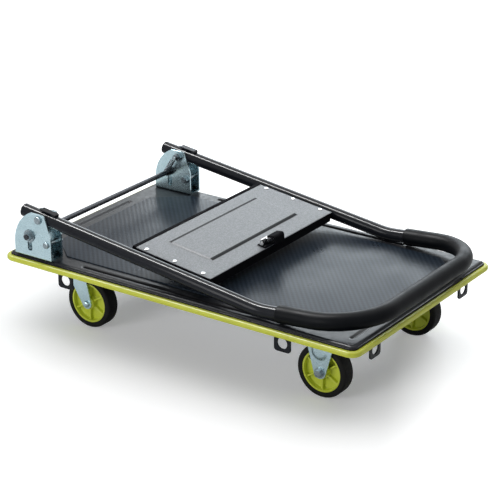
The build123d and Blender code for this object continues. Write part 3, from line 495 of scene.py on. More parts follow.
bolt_zinc = Finish("dull_bolt_zinc", (0.24, 0.29, 0.31), 0.3, metallic=1.0)
bolt_zinc.colours(bolt_zinc.noise(260, 3), (0.09, 0.115, 0.13), (0.46, 0.54, 0.58))
bolt_zinc.gloss(bolt_zinc.noise(300, 3), 0.2, 0.34)
bolt_zinc.bump(bolt_zinc.noise(900, 3), 0.03)
print("zinc:", zinc.material.name, shaded_bracket_zinc.material.name, bolt_zinc.material.name)

# %% Bright and dark steel
bright_steel = Finish("bright_wire", (0.62, 0.63, 0.64), 0.25, metallic=1.0)
bright_steel.colours(bright_steel.noise(150, 3), (0.54, 0.55, 0.56), (0.70, 0.71, 0.72))
bright_steel.gloss(bright_steel.noise(400, 3), 0.18, 0.34)
bright_steel.bump(bright_steel.noise(1500, 2), 0.008)

dark_steel = Finish("dark_drawn_steel", (0.16, 0.17, 0.18), 0.25, metallic=1.0)
dark_steel.colours(dark_steel.noise(120, 3), (0.03, 0.033, 0.037), (0.085, 0.09, 0.1))
dark_steel.gloss(dark_steel.noise(300, 3), 0.18, 0.32)
dark_steel.bump(dark_steel.noise(1200, 2), 0.01)
print("steel:", bright_steel.material.name, dark_steel.material.name)

# %% [markdown]
# ### Rubber, foam and trim
# Tyres are solid rubber, matt with a fine grain. The grip is closed-cell foam, almost black, and its tiny
# cells, made by rounded Voronoi cells, break the light from above into a soft sheen. The lip round the
# deck and the tube's end plugs are satin black mouldings.

# %% Dark soft finishes
tyre_rubber = Finish("tyre_rubber", (0.012, 0.012, 0.012), 0.6, Specular_IOR_Level=0.07)
tyre_rubber.colours(tyre_rubber.noise(60, 4), (0.009, 0.009, 0.009), (0.018, 0.018, 0.017))
tyre_rubber.gloss(tyre_rubber.noise(150, 4), 0.5, 0.68)
tyre_rubber.bump(tyre_rubber.noise(900, 3), 0.05)

grip_foam = Finish("grip_foam", (0.005, 0.005, 0.006), 0.5, Specular_IOR_Level=0.07)
grip_foam.colours(grip_foam.noise(50, 4), (0.0015, 0.002, 0.003), (0.004, 0.005, 0.0065))
grip_foam.gloss(grip_foam.noise(40, 3), 0.34, 0.46)
grip_foam.bump(grip_foam.cells(900), 0.08)

satin_black = Finish("satin_black_moulding", (0.009, 0.009, 0.010), 0.3, Specular_IOR_Level=0.1)
satin_black.colours(satin_black.noise(40, 3), (0.007, 0.007, 0.008), (0.013, 0.013, 0.014))
satin_black.gloss(satin_black.noise(100, 3), 0.24, 0.36)
satin_black.bump(satin_black.noise(900, 2), 0.015)
print("dark finishes:", tyre_rubber.material.name, grip_foam.material.name, satin_black.material.name)

# %% [markdown]
# ### The panel's hammered grey
# The panel between the handle's legs has a silver-grey hammer finish: the paint draws itself into small
# round dimples with a slightly darker rim. Rounded Voronoi cells make both the dimples and the tint. Along
# the two long press lines a painted shade shows dark, and a mark on the cover's own mesh says where. The
# gloss is kept low, because a glossier panel mirrors the lamps as plain white when it is seen from low
# down.

# %% Hammered grey
hammered = Finish("hammered_grey_coat", (0.14, 0.145, 0.15), 0.3, Specular_IOR_Level=0.42)
dimple = hammered.cells(330)
dimple_tint = hammered.span(dimple, 0, 1, 0.15, 0.6)
hammered.colours(dimple_tint, (0.23, 0.243, 0.257), (0.165, 0.176, 0.188))
hammered.gloss(hammered.noise(180, 3), 0.42, 0.54)
# Painted shade along the cover's two long press lines: dark colour and high roughness.
hammered.painted_shade_mark("painted_press_shade", (0.008, 0.009, 0.011))
hammered.bump(hammered.maths("ADD", dimple, hammered.noise(900, 2)), 0.22)
print("panel finish:", hammered.material.name)

# %% [markdown]
# ## Finishes for the CAD nodes
# A CAD node whose shape is right stays in the picture and only takes a finish. The table goes by the
# material slot that each node has in the record, which dresses a new node at once, and a few nodes that
# differ from the rest of their slot are named on their own.

# %% Finish by slot
by_slot = {
    "black_coat": tube_coat,
    "deck_rubber": mat_rubber,
    "lime_edge": lime_edge,
    "black_trim": satin_black,
    "zinc_plate": zinc,
    "spring_steel": bright_steel,
    "dark_steel": dark_steel,
    "lime_rim": lime_nylon,
    "tyre": tyre_rubber,
    "foam": grip_foam,
    "grey_panel": hammered,
}
slot_of = {subpart["node"]: subpart["material_slot"] for subpart in frame["record"]["subparts"]}
finish_of = {name: by_slot[slot_of[name]] for name in nodes}
finish_of["deck_pan"] = deck_coat
for name in ("panel_tray", "clip_base", "clip_pad"):
    finish_of[name] = tray_coat
for name in ("hinge_bracket_near", "hinge_bracket_far"):
    finish_of[name] = shaded_bracket_zinc
for name in ("pivot_bolts", "pivot_nuts", "stop_bolts", "stop_nuts"):
    finish_of[name] = bolt_zinc
for name in ("bracket_bolts", "rod_nuts", "fixed_axle_bolts"):
    finish_of[name] = bolt_zinc
for name, thing in nodes.items():
    thing.data.materials.clear()
    thing.data.materials.append(finish_of[name].material)
print("dressed", len(nodes), "CAD nodes in", len(set(finish_of.values())), "finishes")

# %% [markdown]
# ## Making surfaces
# Every new piece below is a grid: a ring of points carried along a path, or a row of outlines set one
# inside the next. Faces of a grid always join the same four neighbours, so one function numbers them for
# all pieces, and the points can be worked out as whole arrays.


# %% Grids
def grid_faces(rows, columns, close_rows=False, close_columns=True):
    """Quads of a grid whose point number is row * columns + column.

    Each quad joins a point, its neighbour in the row, and the same two in the next row. A closed side
    joins its last points to its first.
    """
    row = np.arange(rows if close_rows else rows - 1)
    column = np.arange(columns if close_columns else columns - 1)
    row, column = (grid.ravel() for grid in np.meshgrid(row, column, indexing="ij"))
    here = row * columns
    after = (row + 1) % rows * columns
    beside = (column + 1) % columns
    return np.stack([here + column, here + beside, after + beside, after + column], axis=1)


def capped(rows, columns):
    """A grid open at its first and last row, closed by one flat face at each."""
    faces = grid_faces(rows, columns).tolist()
    faces.append(list(range(columns))[::-1])
    faces.append(list(range((rows - 1) * columns, rows * columns)))
    return faces


def together(parts):
    """Several (points, faces) pairs joined into one, each pair's faces moved on by the points before."""
    points, faces, start = [], [], 0
    for some_points, some_faces in parts:
        points.append(np.asarray(some_points))
        faces += [[number + start for number in face] for face in some_faces]
        start += len(some_points)
    return np.concatenate(points), faces


def ease(value):
    """A smooth step from 0 to 1: three times the square less twice the cube."""
    value = np.clip(value, 0, 1)
    return value * value * (3 - 2 * value)


print("a grid of 3 by 4 points, closed round, has", len(grid_faces(3, 4)), "faces")


# %% Pieces
def new_piece(name, points, faces, finish, body=None, instead_of=(), sharp=40.0):
    """A mesh from points in millimetres, smooth but for edges over an angle, that rides on a body."""
    mesh = bpy.data.meshes.new(name)
    mesh.from_pydata((np.asarray(points) * MM).tolist(), [], [list(face) for face in faces])
    work = bmesh.new()
    work.from_mesh(mesh)
    bmesh.ops.recalc_face_normals(work, faces=work.faces)
    work.to_mesh(mesh)
    work.free()
    mesh.shade_smooth()
    mesh.set_sharp_from_angle(angle=math.radians(sharp))
    mesh.materials.append(finish.material)
    piece = bpy.data.objects.new(name, mesh)
    scene.collection.objects.link(piece)
    if body:
        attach(piece, body)
    if instead_of:
        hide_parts(*instead_of)
    print(name, "faces:", len(mesh.polygons))
    return piece


def mark_points(piece, attribute, values):
    """Keeps one number for each point of a piece, which its finish reads."""
    mark = piece.data.attributes.new(attribute, "FLOAT", "POINT")
    mark.data.foreach_set("value", values)


print("piece helpers:", [helper.__name__ for helper in (new_piece, mark_points)])

# %% [markdown]
# ## The deck
# The deck is one pressed sheet. Its outline is a rectangle with round corners, and moving that outline
# inwards or outwards by a little gives the rows of a grid. The same rows, followed over the top, round
# the edge, down the flange and back along the underside, give a closed sheet. The pressed beads are dips
# whose depth depends only on the distance to a bead's middle line, so the grid is close where beads are.

# %% Outlines moved in and out
pan_low, pan_high = box_of("deck_pan")
DECK_TOP = pan_high[2]
MIDDLE = (pan_low[:2] + pan_high[:2]) / 2
LENGTH, WIDTH = (pan_high - pan_low)[:2]
CORNER = 10.0
LEAST_CORNER = 0.4
EVEN_COUNT = 45
CLOSE_COUNT = 15
BEAD_REACH = 10
CLEARANCE = 6
LAST_PLACE = 0.995
# The insets of the rows that run along the beads, and the places just past the beads' ends.
LONG_INSET = 17
END_INSET = 23
LONG_BEAD_ENDS = (-215, 215)
END_BEAD_ENDS = (-199, -102, 102, 199)


def stations(limit, marks):
    """Places from -1 to 1 along a side: even steps, and close ones about each mark in their stead."""
    even = np.linspace(-1, 1, EVEN_COUNT)[:-1]
    about = np.linspace(-BEAD_REACH, BEAD_REACH, CLOSE_COUNT)
    close = (np.array(marks)[:, None] + about).ravel() / limit
    close = close[np.abs(close) < LAST_PLACE]
    clear = np.abs(even[:, None] - close).min(axis=1) > CLEARANCE / limit
    return np.unique(np.concatenate([[-1.0], even[clear], close]))


SIDE = stations(LENGTH / 2 - LONG_INSET, LONG_BEAD_ENDS)
END = stations(WIDTH / 2 - END_INSET, END_BEAD_ENDS)


def outline(inset):
    """The deck's outline moved inwards: four straight runs and four quarter arcs, as points in order."""
    halves = np.array([LENGTH / 2 - inset, WIDTH / 2 - inset])
    r = max(CORNER - inset, LEAST_CORNER)
    swing = np.linspace(0, QUARTER_TURN, 11)[:-1]
    runs = []
    for quarter, places in enumerate((END, SIDE, END, SIDE)):
        out, half = halves[quarter % 2], halves[1 - quarter % 2]
        u = np.concatenate([np.full(len(places), out), out - r + r * np.cos(swing)])
        v = np.concatenate([places * (half - r), half - r + r * np.sin(swing)])
        turn = quarter * QUARTER_TURN
        x = u * math.cos(turn) - v * math.sin(turn)
        y = u * math.sin(turn) + v * math.cos(turn)
        runs.append(np.stack([x, y], 1))
    return np.concatenate(runs) + MIDDLE


def outline_rows(rows):
    """Points of a grid: one moved outline at one height for each (inset, height)."""
    rings = []
    for inset, height in rows:
        ring = outline(inset)
        rings.append(np.column_stack([ring, np.full(len(ring), height)]))
    return np.concatenate(rings), len(rings[0])


print("deck", round(LENGTH), "x", round(WIDTH), "mm, top at", round(DECK_TOP, 1), "mm")

# %% Pressed beads
LONG_BEADS = [((-213, 213), (213, 213)), ((-213, -213), (213, -213))]
END_BEADS = [((-357, -100), (-357, 100)), ((357, -197), (357, 197))]
BEAD_DEPTH = 2.6
BEAD_HALF = 6.5
SHADE_HALF = 5.0
SHADE_FADE = 2.5


def to_beads(points, beads):
    """Distance of points to the nearest bead's middle line, by the nearest point of each line's run."""
    least = np.full(len(points), np.inf)
    for start, end in beads:
        start = np.array(start) + MIDDLE
        run = np.array(end) + MIDDLE - start
        share = np.clip((points[:, :2] - start) @ run / (run @ run), 0, 1)
        away = np.linalg.norm(points[:, :2] - start - share[:, None] * run, axis=1)
        least = np.minimum(least, away)
    return least


print("beads:", len(LONG_BEADS) + len(END_BEADS), "each", 2 * BEAD_HALF, "mm wide")

# %% Pressed deck sheet
SHEET = 2.0
ROLLED = 7.0
NEARLY = 0.01
UNDER = DECK_TOP - SHEET
FLANGE = pan_low[2]
flat = np.concatenate([[60, 50, 42, 36, 32.5], np.arange(31, 8.5, -1.0), [8.0]])
roll = np.linspace(0, QUARTER_TURN, 10)


def rolled_edge(radius):
    """A quarter circle of (inset, height) about the middle of the rolled edge."""
    return np.stack([ROLLED - radius * np.sin(roll), DECK_TOP - ROLLED + radius * np.cos(roll)], 1)


hem = np.array([(0, 0.8), (0.2, 0.2), (0.8, 0), (1.2, 0), (1.8, 0.2), (2, 0.8)]) + (0, FLANGE)
top_rows = np.stack([flat, np.full_like(flat, DECK_TOP)], 1)
under_rows = np.stack([flat[::-1], np.full_like(flat, UNDER)], 1)
inner_edge = rolled_edge(ROLLED - SHEET)[::-1]
deck_rows = np.concatenate([top_rows, rolled_edge(ROLLED), hem, inner_edge, under_rows])
deck_points, deck_columns = outline_rows(deck_rows)
to_bead = to_beads(deck_points, LONG_BEADS + END_BEADS)
on_top = deck_points[:, 2] > DECK_TOP - NEARLY
below = np.abs(deck_points[:, 2] - UNDER) < NEARLY
for face, half in ((on_top, BEAD_HALF), (below, BEAD_HALF + SHEET)):
    deck_points[:, 2] -= BEAD_DEPTH * ease((half - to_bead) / half) * face
deck_faces = capped(len(deck_rows), deck_columns)
deck = new_piece("deck_sheet", deck_points, deck_faces, deck_coat, "deck", ["deck_pan"])
# The mark for the beads' painted shade: 1 along their middle lines, fading out to the sides.
to_long_bead = to_beads(deck_points, LONG_BEADS)
mark_points(deck, "bead_painted_shade", ease((SHADE_HALF - to_long_bead) / SHADE_FADE))

# %% [markdown]
# ## The deck's edging
# A soft lime strip runs round the flange and takes the knocks, and a black lip on top of it closes the
# seam. Both are extruded mouldings bent round the deck, so each is made in the same way: one rounded
# section carried round the deck's outline. Their sections are rounder than the solids they stand for.


# %% Rounded sections
def rounded_loop(corners, steps=6):
    """A closed line through (x, y, radius) corners, each rounded by an arc tangent to both its sides."""
    xy = np.array([corner[:2] for corner in corners], float)
    line = []
    for i, corner in enumerate(corners):
        here, radius = xy[i], corner[2]
        to_last = unit(xy[i - 1] - here)
        to_next = unit(xy[(i + 1) % len(xy)] - here)
        half = math.acos(np.clip(to_last @ to_next, -1, 1)) / 2
        centre = here + unit(to_last + to_next) * radius / math.sin(half)
        start = here + to_last * radius / math.tan(half) - centre
        end = here + to_next * radius / math.tan(half) - centre
        first = math.atan2(start[1], start[0])
        swing = (math.atan2(end[1], end[0]) - first + math.pi) % FULL_TURN - math.pi
        angles = first + swing * np.linspace(0, 1, steps)
        line.append(centre + radius * np.stack([np.cos(angles), np.sin(angles)], 1))
    return np.concatenate(line)


def edging(name, loop, finish, node):
    """A closed section of (outward, height) carried round the deck's outline."""
    points, columns = outline_rows([(-out, height) for out, height in loop])
    faces = grid_faces(len(loop), columns, close_rows=True)
    return new_piece(name, points, faces, finish, "deck", [node])


square = [(0, 0, 0.1), (1, 0, 0.1), (1, 1, 0.1), (0, 1, 0.1)]
print("a square with round corners has", len(rounded_loop(square)), "points")

# %% Edge strip and lip
SEAM = 0.02
STRIP_OUT = 11.0
STRIP_ROUND = 4.5
LIP_OUT = 3.0
low, high = (corner[2] for corner in box_of("bumper"))
strip = [(SEAM, low, 0.6), (STRIP_OUT, low, STRIP_ROUND), (STRIP_OUT, high, STRIP_ROUND), (SEAM, high, 0.5)]
edging("edge_strip", rounded_loop(strip, 8), lime_edge, "bumper")
low, high = (corner[2] for corner in box_of("edge_trim"))
lip = [(SEAM, low + SEAM, 0.2), (LIP_OUT, low + SEAM, 0.3), (LIP_OUT, high, 1.2), (SEAM, high, 0.3)]
edging("edge_lip", rounded_loop(lip), satin_black, "edge_trim")

# %% [markdown]
# ## The mat's sheet
# The mat lies in the middle of the deck. Its hinge-end corners are cut back wide to clear the brackets
# and its grip-end corners are cut a little. It is two millimetres thick with a soft upper edge, made by
# moving its outline inwards as it rises. Its ribs are so low that the finish can carry them.

# %% Mat
GRIP_CUT = 28
HINGE_CUT = (64, 56)
mat_low, mat_high = box_of("deck_mat")
X, Y = (mat_high - mat_low)[:2] / 2
far_corners = [(X, Y - GRIP_CUT), (X - GRIP_CUT, Y), (HINGE_CUT[0] - X, Y), (-X, Y - HINGE_CUT[1])]
near_corners = [(x, -y) for x, y in far_corners[::-1]]
mat_corners = np.array(near_corners[-1:] + far_corners + near_corners[:-1])


def shrunk(corners, inset):
    """A convex outline with every side moved inwards: each corner is where its two moved sides cross."""
    after = unit(np.roll(corners, -1, axis=0) - corners)
    before = np.roll(after, 1, axis=0)
    normals = np.stack([-after[:, 1] - before[:, 1], after[:, 0] + before[:, 0]], 1)
    return corners + normals * inset / (1 + np.sum(after * before, axis=1, keepdims=True))


mat_rings = []
mat_rows = [(0.1, 0.05), (0.0, 1.1), (0.25, 1.6), (0.8, 1.95), (1.6, 2.0)]
for inset, rise in mat_rows:
    ring = shrunk(mat_corners, inset) + MIDDLE
    mat_rings.append(np.column_stack([ring, np.full(len(ring), DECK_TOP + rise)]))
mat_faces = capped(len(mat_rows), len(mat_corners))
new_piece("diamond_mat", np.concatenate(mat_rings), mat_faces, mat_rubber, "deck", ["deck_mat"])

# %% [markdown]
# ## The handle
# The handle is one steel tube bent in four places: a slight upward bend in each leg, and two wide bends
# at the grip. Its middle line is straight runs joined by arcs, and a circle carried along that line makes
# the tube. It is drawn in a frame of its own, with the pivot at the origin and the legs along X, because
# there its bends are plain numbers.

# %% The handle's own frame
PIVOT = middle_of("pivot_sleeves")
TUBE = 12.5
GRIP = 16.0
SEAT = 0.3
BEND_REACH = 486.0
GRIP_START = 43.0
DECLINE = math.asin((PIVOT[2] - DECK_TOP - TUBE - SEAT) / BEND_REACH)
TURN = DECLINE + math.asin((GRIP - TUBE) / GRIP_START)
ALONG = np.array([math.cos(DECLINE), 0, -math.sin(DECLINE)])
ACROSS = np.array([0.0, 1.0, 0.0])
LIFT = np.array([math.sin(DECLINE), 0, math.cos(DECLINE)])
TO_CART = np.stack([ALONG, ACROSS, LIFT])
MIRRORED = np.array([1, -1, 1])


def on_handle(points):
    """Points of the handle's frame put in the cart's: turned by the legs' slope, moved to the pivot."""
    return np.asarray(points, float) @ TO_CART + PIVOT


print("pivot at", PIVOT.round(2), "mm, legs slope by", round(math.degrees(DECLINE), 2), "degrees")


# %% Lines with rounded corners
def run_between(first, last, step=12):
    """Points after the first one, evenly spaced up to the last one."""
    count = max(2, int(np.linalg.norm(last - first) / step))
    return first + (last - first) * np.linspace(0, 1, count + 1)[1:, None]


def rounded_line(corners, radii, step=4.0):
    """Straight runs joined by arcs of the given radii.

    Each arc starts radius * tan(turn / 2) before its corner, and leaves the first run towards the inside
    of the bend by radius * (1 - cos(angle)).
    """
    corners = np.asarray(corners, float)
    line = [corners[:1]]
    for i, radius in enumerate(radii, start=1):
        before = unit(corners[i] - corners[i - 1])
        after = unit(corners[i + 1] - corners[i])
        turn = math.acos(np.clip(before @ after, -1, 1))
        start = corners[i] - before * radius * math.tan(turn / 2)
        inward = unit(after - before * math.cos(turn))
        angle = np.linspace(0, turn, max(3, int(radius * turn / step)))[:, None]
        arc = start + radius * (before * np.sin(angle) + inward * (1 - np.cos(angle)))
        line += [run_between(line[-1][-1], start)[:-1], arc]
    line.append(run_between(line[-1][-1], corners[-1]))
    return np.concatenate(line)


one_bend = rounded_line([(0, 0, 0), (100, 0, 0), (100, 100, 0)], [40])
print("a line with one bend has", len(one_bend), "points")


# %% Circles along a line
def circles(line, side, over, radius, around):
    """Circles about a line: side * cos + over * sin of an angle, times a radius, at each of its points."""
    angle = np.linspace(0, FULL_TURN, around, endpoint=False)[None, :, None]
    ring = side[:, None] * np.cos(angle) + over[:, None] * np.sin(angle)
    radius = np.broadcast_to(radius, (len(line),))[:, None, None]
    return (line[:, None] + radius * ring).reshape(-1, 3)


def tube_points(line, radius, around):
    """A tube on a nearly level line: its circles' axes are square to the tangent and to upright."""
    tangent = unit(np.gradient(line, axis=0))
    side = unit(np.cross([0.0, 0.0, 1.0], tangent))
    return circles(line, side, np.cross(tangent, side), radius, around)


print("a tube on that line has", len(tube_points(one_bend, TUBE, 40)), "points")

# %% Handle tube
LEG = 216.0
TAIL = 45.0
GRIP_REACH = 208.6
LEG_BEND = 150
GRIP_BEND = 100
TUBE_SIDES = 40


def past_bend(reach):
    """A point of the near leg at a distance past its bend, where the leg has turned up."""
    return (BEND_REACH + reach * math.cos(TURN), -LEG, reach * math.sin(TURN))


def both_legs(near_points):
    """The near leg's corners, then the same on the far leg in reverse order."""
    return near_points + [(x, -y, z) for x, y, z in near_points[::-1]]


tube_corners = both_legs([(-TAIL, -LEG, 0.0), (BEND_REACH, -LEG, 0.0), past_bend(GRIP_REACH)])
tube_line = rounded_line(tube_corners, [LEG_BEND, GRIP_BEND, GRIP_BEND, LEG_BEND])
tube_skin = on_handle(tube_points(tube_line, TUBE, TUBE_SIDES))
tube_faces = capped(len(tube_line), TUBE_SIDES)
new_piece("leg_tube", tube_skin, tube_faces, tube_coat, "handle", ["handle_tube"])

# %% [markdown]
# ## The foam grip
# A foam sleeve is pushed over the tube while wet and dries tight round both bends. It is a larger circle
# on the same line, with rounded ends, and its radius wanders by a tenth of a millimetre, as foam does. A
# sleeve this tight neither sags nor folds, so it needs no cloth simulation.

# %% Foam grip
END_ROUND = 2.4
SOFTNESS = 0.1
WANDER = (0.37, 0.093)
FOAM_SIDES = 48
grip_corners = both_legs([past_bend(GRIP_START), past_bend(GRIP_REACH)])
grip_line = rounded_line(grip_corners, [GRIP_BEND, GRIP_BEND], 3.0)
grip_steps = np.linalg.norm(np.diff(grip_line, axis=0), axis=1)
travelled = np.concatenate([[0], np.cumsum(grip_steps)])
to_end = np.minimum(travelled, travelled[-1] - travelled)
quarter = np.linspace(0, QUARTER_TURN, 7)
inwards = unit(grip_line[1] - grip_line[0])
first_end = grip_line[0] + END_ROUND * (1 - np.cos(quarter))[:, None] * inwards
plain_line = grip_line[to_end > END_ROUND + 0.5]
sleeve_line = np.concatenate([first_end, plain_line, first_end[::-1] * MIRRORED])
count = np.arange(len(plain_line))
wander = SOFTNESS * np.sin(count * WANDER[0]) * np.sin(count * WANDER[1]) - SOFTNESS
end_radius = GRIP - END_ROUND + END_ROUND * np.sin(quarter)
sleeve_radius = np.concatenate([end_radius, GRIP + wander, end_radius[::-1]])
sleeve_skin = on_handle(tube_points(sleeve_line, sleeve_radius, FOAM_SIDES))
sleeve_faces = capped(len(sleeve_line), FOAM_SIDES)
grip = new_piece("foam_sleeve", sleeve_skin, sleeve_faces, grip_foam, "handle", ["foam_grip"])
print("grip length along its middle:", round(travelled[-1]), "mm")

# %% [markdown]
# ## The panel's cover
# The cover is a thin sheet with a raised middle field. It is a height map on a grid whose lines crowd
# together at the field's sloping sides, closed below by the same grid one sheet lower. A height map suits
# a pressing, because a press can only push a sheet up or down. Its two long press lines are marked for
# the painted shade of the hammered finish.

# %% Grid of the cover
COVER_X = (203.0, 370.0)
COVER_Y = (-198.5, 198.5)
FIELD_X = (232.0, 331.0)
FIELD_Y = (-140.0, 140.0)
CLOSE_LINES = np.linspace(-1.5, 7.0, 18)
OUTSIDE = 2.5
INSIDE = 9


def crowded(low, high, first, second):
    """Grid lines from one edge to the other, close together at the two sides of the field."""
    before = np.linspace(low, first - OUTSIDE, 8)
    between = np.linspace(first + INSIDE, second - INSIDE, 12)
    after = np.linspace(second + OUTSIDE, high, 8)
    return np.concatenate([before, first + CLOSE_LINES, between, second - CLOSE_LINES[::-1], after])


def within(value, ends):
    """How far a value lies inside two ends: the lesser of its distances to them."""
    return np.minimum(value - ends[0], ends[1] - value)


gx, gy = np.meshgrid(crowded(*COVER_X, *FIELD_X), crowded(*COVER_Y, *FIELD_Y), indexing="ij")
print("cover grid:", gx.shape)

# %% Panel cover
COVER_TOP = 9.5
COVER_UNDER = 7.55
FIELD_RISE = 2.0
FIELD_SLOPE = 4.4
EDGE_DROP = 0.5
EDGE_ROUND = 1.5
HINGE_LINE_X = (FIELD_X[0] - 1.4, FIELD_X[0] + 6.8)
GRIP_LINE_X = (FIELD_X[1] - 6.8, FIELD_X[1] + 1.2)
LINE_FADE = 1.2
LINE_END_FADE = 3
in_field = np.minimum(within(gx, FIELD_X), within(gy, FIELD_Y))
to_edge = np.minimum(within(gx, COVER_X), within(gy, COVER_Y))
cover_z = COVER_TOP + FIELD_RISE * ease(in_field / FIELD_SLOPE)
cover_z -= EDGE_DROP * (1 - ease((to_edge + NEARLY) / EDGE_ROUND))
# Where the two long press lines get painted shade in the hammered finish.
hinge_shade_line = ease(within(gx, HINGE_LINE_X) / LINE_FADE)
grip_side_shade_line = ease(within(gx, GRIP_LINE_X) / LINE_FADE)
painted_press_shade = ease(within(gy, FIELD_Y) / LINE_END_FADE) * np.maximum(hinge_shade_line, grip_side_shade_line)
cover_top = np.stack([gx, gy, cover_z], -1).reshape(-1, 3)
cover_low = np.stack([gx, gy, np.full_like(gx, COVER_UNDER)], -1).reshape(-1, 3)
number = np.arange(gx.size).reshape(gx.shape)
rim = np.concatenate([number[0, :-1], number[:-1, -1], number[-1, :0:-1], number[:0:-1, 0]])
next_on_rim = np.roll(rim, -1)
walls = np.stack([rim, next_on_rim, next_on_rim + gx.size, rim + gx.size], 1)
cover_sheet = grid_faces(*gx.shape, close_columns=False)
cover_faces = np.concatenate([cover_sheet, cover_sheet + gx.size, walls])
cover_points = on_handle(np.concatenate([cover_top, cover_low]))
cover = new_piece("hammered_cover", cover_points, cover_faces, hammered, "handle", ["panel_cover"])
mark_points(cover, "painted_press_shade", np.concatenate([painted_press_shade.ravel(), np.zeros(gx.size)]))

# %% [markdown]
# Behind the cover the tray's edge is folded back on itself, which makes a blunt black lip as high as the
# cover. It stands on the tray's ledge: a rounded section carried along the panel's width. The tray's own
# solid stays as it is, and the lip is one more piece on it.

# %% Tray lip
LIP_X = (195.3, 202.7)
LIP_Z = (7.52, 9.9)
LIP_HALF = 198.3
low_corners = [(x, LIP_Z[0], 0.4) for x in LIP_X]
high_corners = [(x, LIP_Z[1], 0.9) for x in LIP_X[::-1]]
lip_section = rounded_loop(low_corners + high_corners, 5)
lip_places = np.linspace(-LIP_HALF, LIP_HALF, 40)
lip_xz = np.tile(lip_section, (len(lip_places), 1))
lip_y = np.repeat(lip_places, len(lip_section))
lip_points = on_handle(np.stack([lip_xz[:, 0], lip_y, lip_xz[:, 1]], 1))
lip_faces = capped(len(lip_places), len(lip_section))
tray_lip = new_piece("tray_lip", lip_points, lip_faces, tray_coat, "handle")

# %% [markdown]
# ## Wheels
# A wheel is a turned shape, so a section swept round its axle makes it. The centre is moulded nylon with
# a hub, a thin web and an outer lip, and six ribs on both faces run from hub to lip. Each rib is a rounded
# bar carried outwards that flares at both ends, as a moulded rib does where it meets a wall.


# %% Turned shapes and ribs
def turned(loop, centre, steps=96):
    """A closed section of (radius, sideways) swept round an axle along Y: x and z are radius * cos, sin."""
    angle = np.linspace(0, FULL_TURN, steps, endpoint=False)
    radius = loop[:, :1]
    sideways = np.broadcast_to(loop[:, 1:], (len(loop), steps))
    points = np.stack([radius * np.cos(angle), sideways, radius * np.sin(angle)], -1)
    return points.reshape(-1, 3) + centre, grid_faces(len(loop), steps, close_rows=True).tolist()


RIB_HALF = (1.7, 10.5)
RIB_REACH = np.linspace(12.0, 36.6, 6)


def rib(turn, centre):
    """A bar from hub to lip: a rounded rectangle at six radii, wider by the fourth power at both ends."""
    half, high = RIB_HALF
    rectangle = [(-half, -high), (half, -high), (half, high), (-half, high)]
    section = rounded_loop([(x, y, 1.0) for x, y in rectangle], 4)
    from_middle = (RIB_REACH - RIB_REACH.mean()) / np.ptp(RIB_REACH) * 2
    out = np.repeat(RIB_REACH, len(section))
    aside = np.outer(1.0 + 0.25 * from_middle**4, section[:, 0]).ravel()
    y = np.tile(section[:, 1], len(RIB_REACH))
    x = out * math.cos(turn) - aside * math.sin(turn)
    z = out * math.sin(turn) + aside * math.cos(turn)
    return np.stack([x, y, z], 1) + centre, capped(len(RIB_REACH), len(section))


print("a rib reaches from", RIB_REACH[0], "to", RIB_REACH[-1], "mm and has", len(rib(0, 0)[1]), "faces")

# %% Four wheels
RIBS = 6
half_rim = [(6.05, 15.5, 0.3), (13.0, 15.5, 0.8), (13.6, 3.5, 1.6)]
half_rim += [(35.4, 3.5, 1.4), (35.9, 13.5, 0.5), (39.4, 13.5, 0.8)]
half_tyre = [(39.45, 14.3, 0.5), (50.0, 14.3, 4.4)]


def whole_section(half):
    """Half a section of (radius, sideways, rounding) corners, followed by its mirror image."""
    return half + [(r, -sideways, rounding) for r, sideways, rounding in half[::-1]]


rim_loop = rounded_loop(whole_section(half_rim), 5)
tyre_loop = rounded_loop(whole_section(half_tyre), 8)
for spot in ("fixed_near", "fixed_far", "swivel_near", "swivel_far"):
    body = "wheel_" + spot
    hub = middle_of("tyre_" + spot)
    ribs = [rib((i + 0.5) * FULL_TURN / RIBS, hub) for i in range(RIBS)]
    rim_mesh = together([turned(rim_loop, hub)] + ribs)
    new_piece("rim_" + spot, *rim_mesh, lime_nylon, body, ["wheel_rim_" + spot])
    tyre_mesh = turned(tyre_loop, hub, 120)
    new_piece("solid_tyre_" + spot, *tyre_mesh, tyre_rubber, body, ["tyre_" + spot])

# %% [markdown]
# ## Pressed bosses
# The fixed forks have a round-ended boss pressed out of each leg. Seen from the side its lower slope looks
# down at the shaded floor, so it shows as a dark curve. Outlines set one inside the next, each a little
# further out than the last, make the slope, and one flat face closes its top.

# %% Bosses on the fixed forks
BOSS_RADIUS = 18
BOSS_TOP = 138
BOSS_BEND = 91
BOSS_SLOPE = 8
BOSS_RISE = 3.2
SUNK_EDGE = (0.2, -0.8)
CHEEK = 19.0


def boss_ring(radius):
    """A round-ended outline of (sideways, height): down one side, half a circle, up the other side."""
    swing = np.linspace(math.pi, FULL_TURN, 25)
    side = np.stack([np.full(6, -radius), np.linspace(BOSS_TOP, BOSS_BEND, 7)[:-1]], 1)
    bend = np.stack([radius * np.cos(swing), BOSS_BEND + radius * np.sin(swing)], 1)
    return np.concatenate([side, bend, side[::-1] * (-1, 1)])


slope = np.linspace(0, 1, 9)
boss_rows = [(BOSS_RADIUS + SUNK_EDGE[0], SUNK_EDGE[1])]
boss_rows += list(zip(BOSS_RADIUS - BOSS_SLOPE * slope, BOSS_RISE * ease(slope)))
boss_rings = [boss_ring(radius) for radius, out in boss_rows]
boss_outline = np.concatenate(boss_rings)
boss_out = CHEEK + np.repeat([out for radius, out in boss_rows], len(boss_rings[0]))
boss_faces = capped(len(boss_rings), len(boss_rings[0]))
for spot in ("near", "far"):
    wheel = middle_of("tyre_fixed_" + spot)
    bosses = []
    for hand in (-1, 1):
        x = wheel[0] + boss_outline[:, 0]
        y = wheel[1] + hand * boss_out
        bosses.append((np.stack([x, y, boss_outline[:, 1]], 1), boss_faces))
    boss = new_piece("fork_bosses_" + spot, *together(bosses), zinc, "deck")
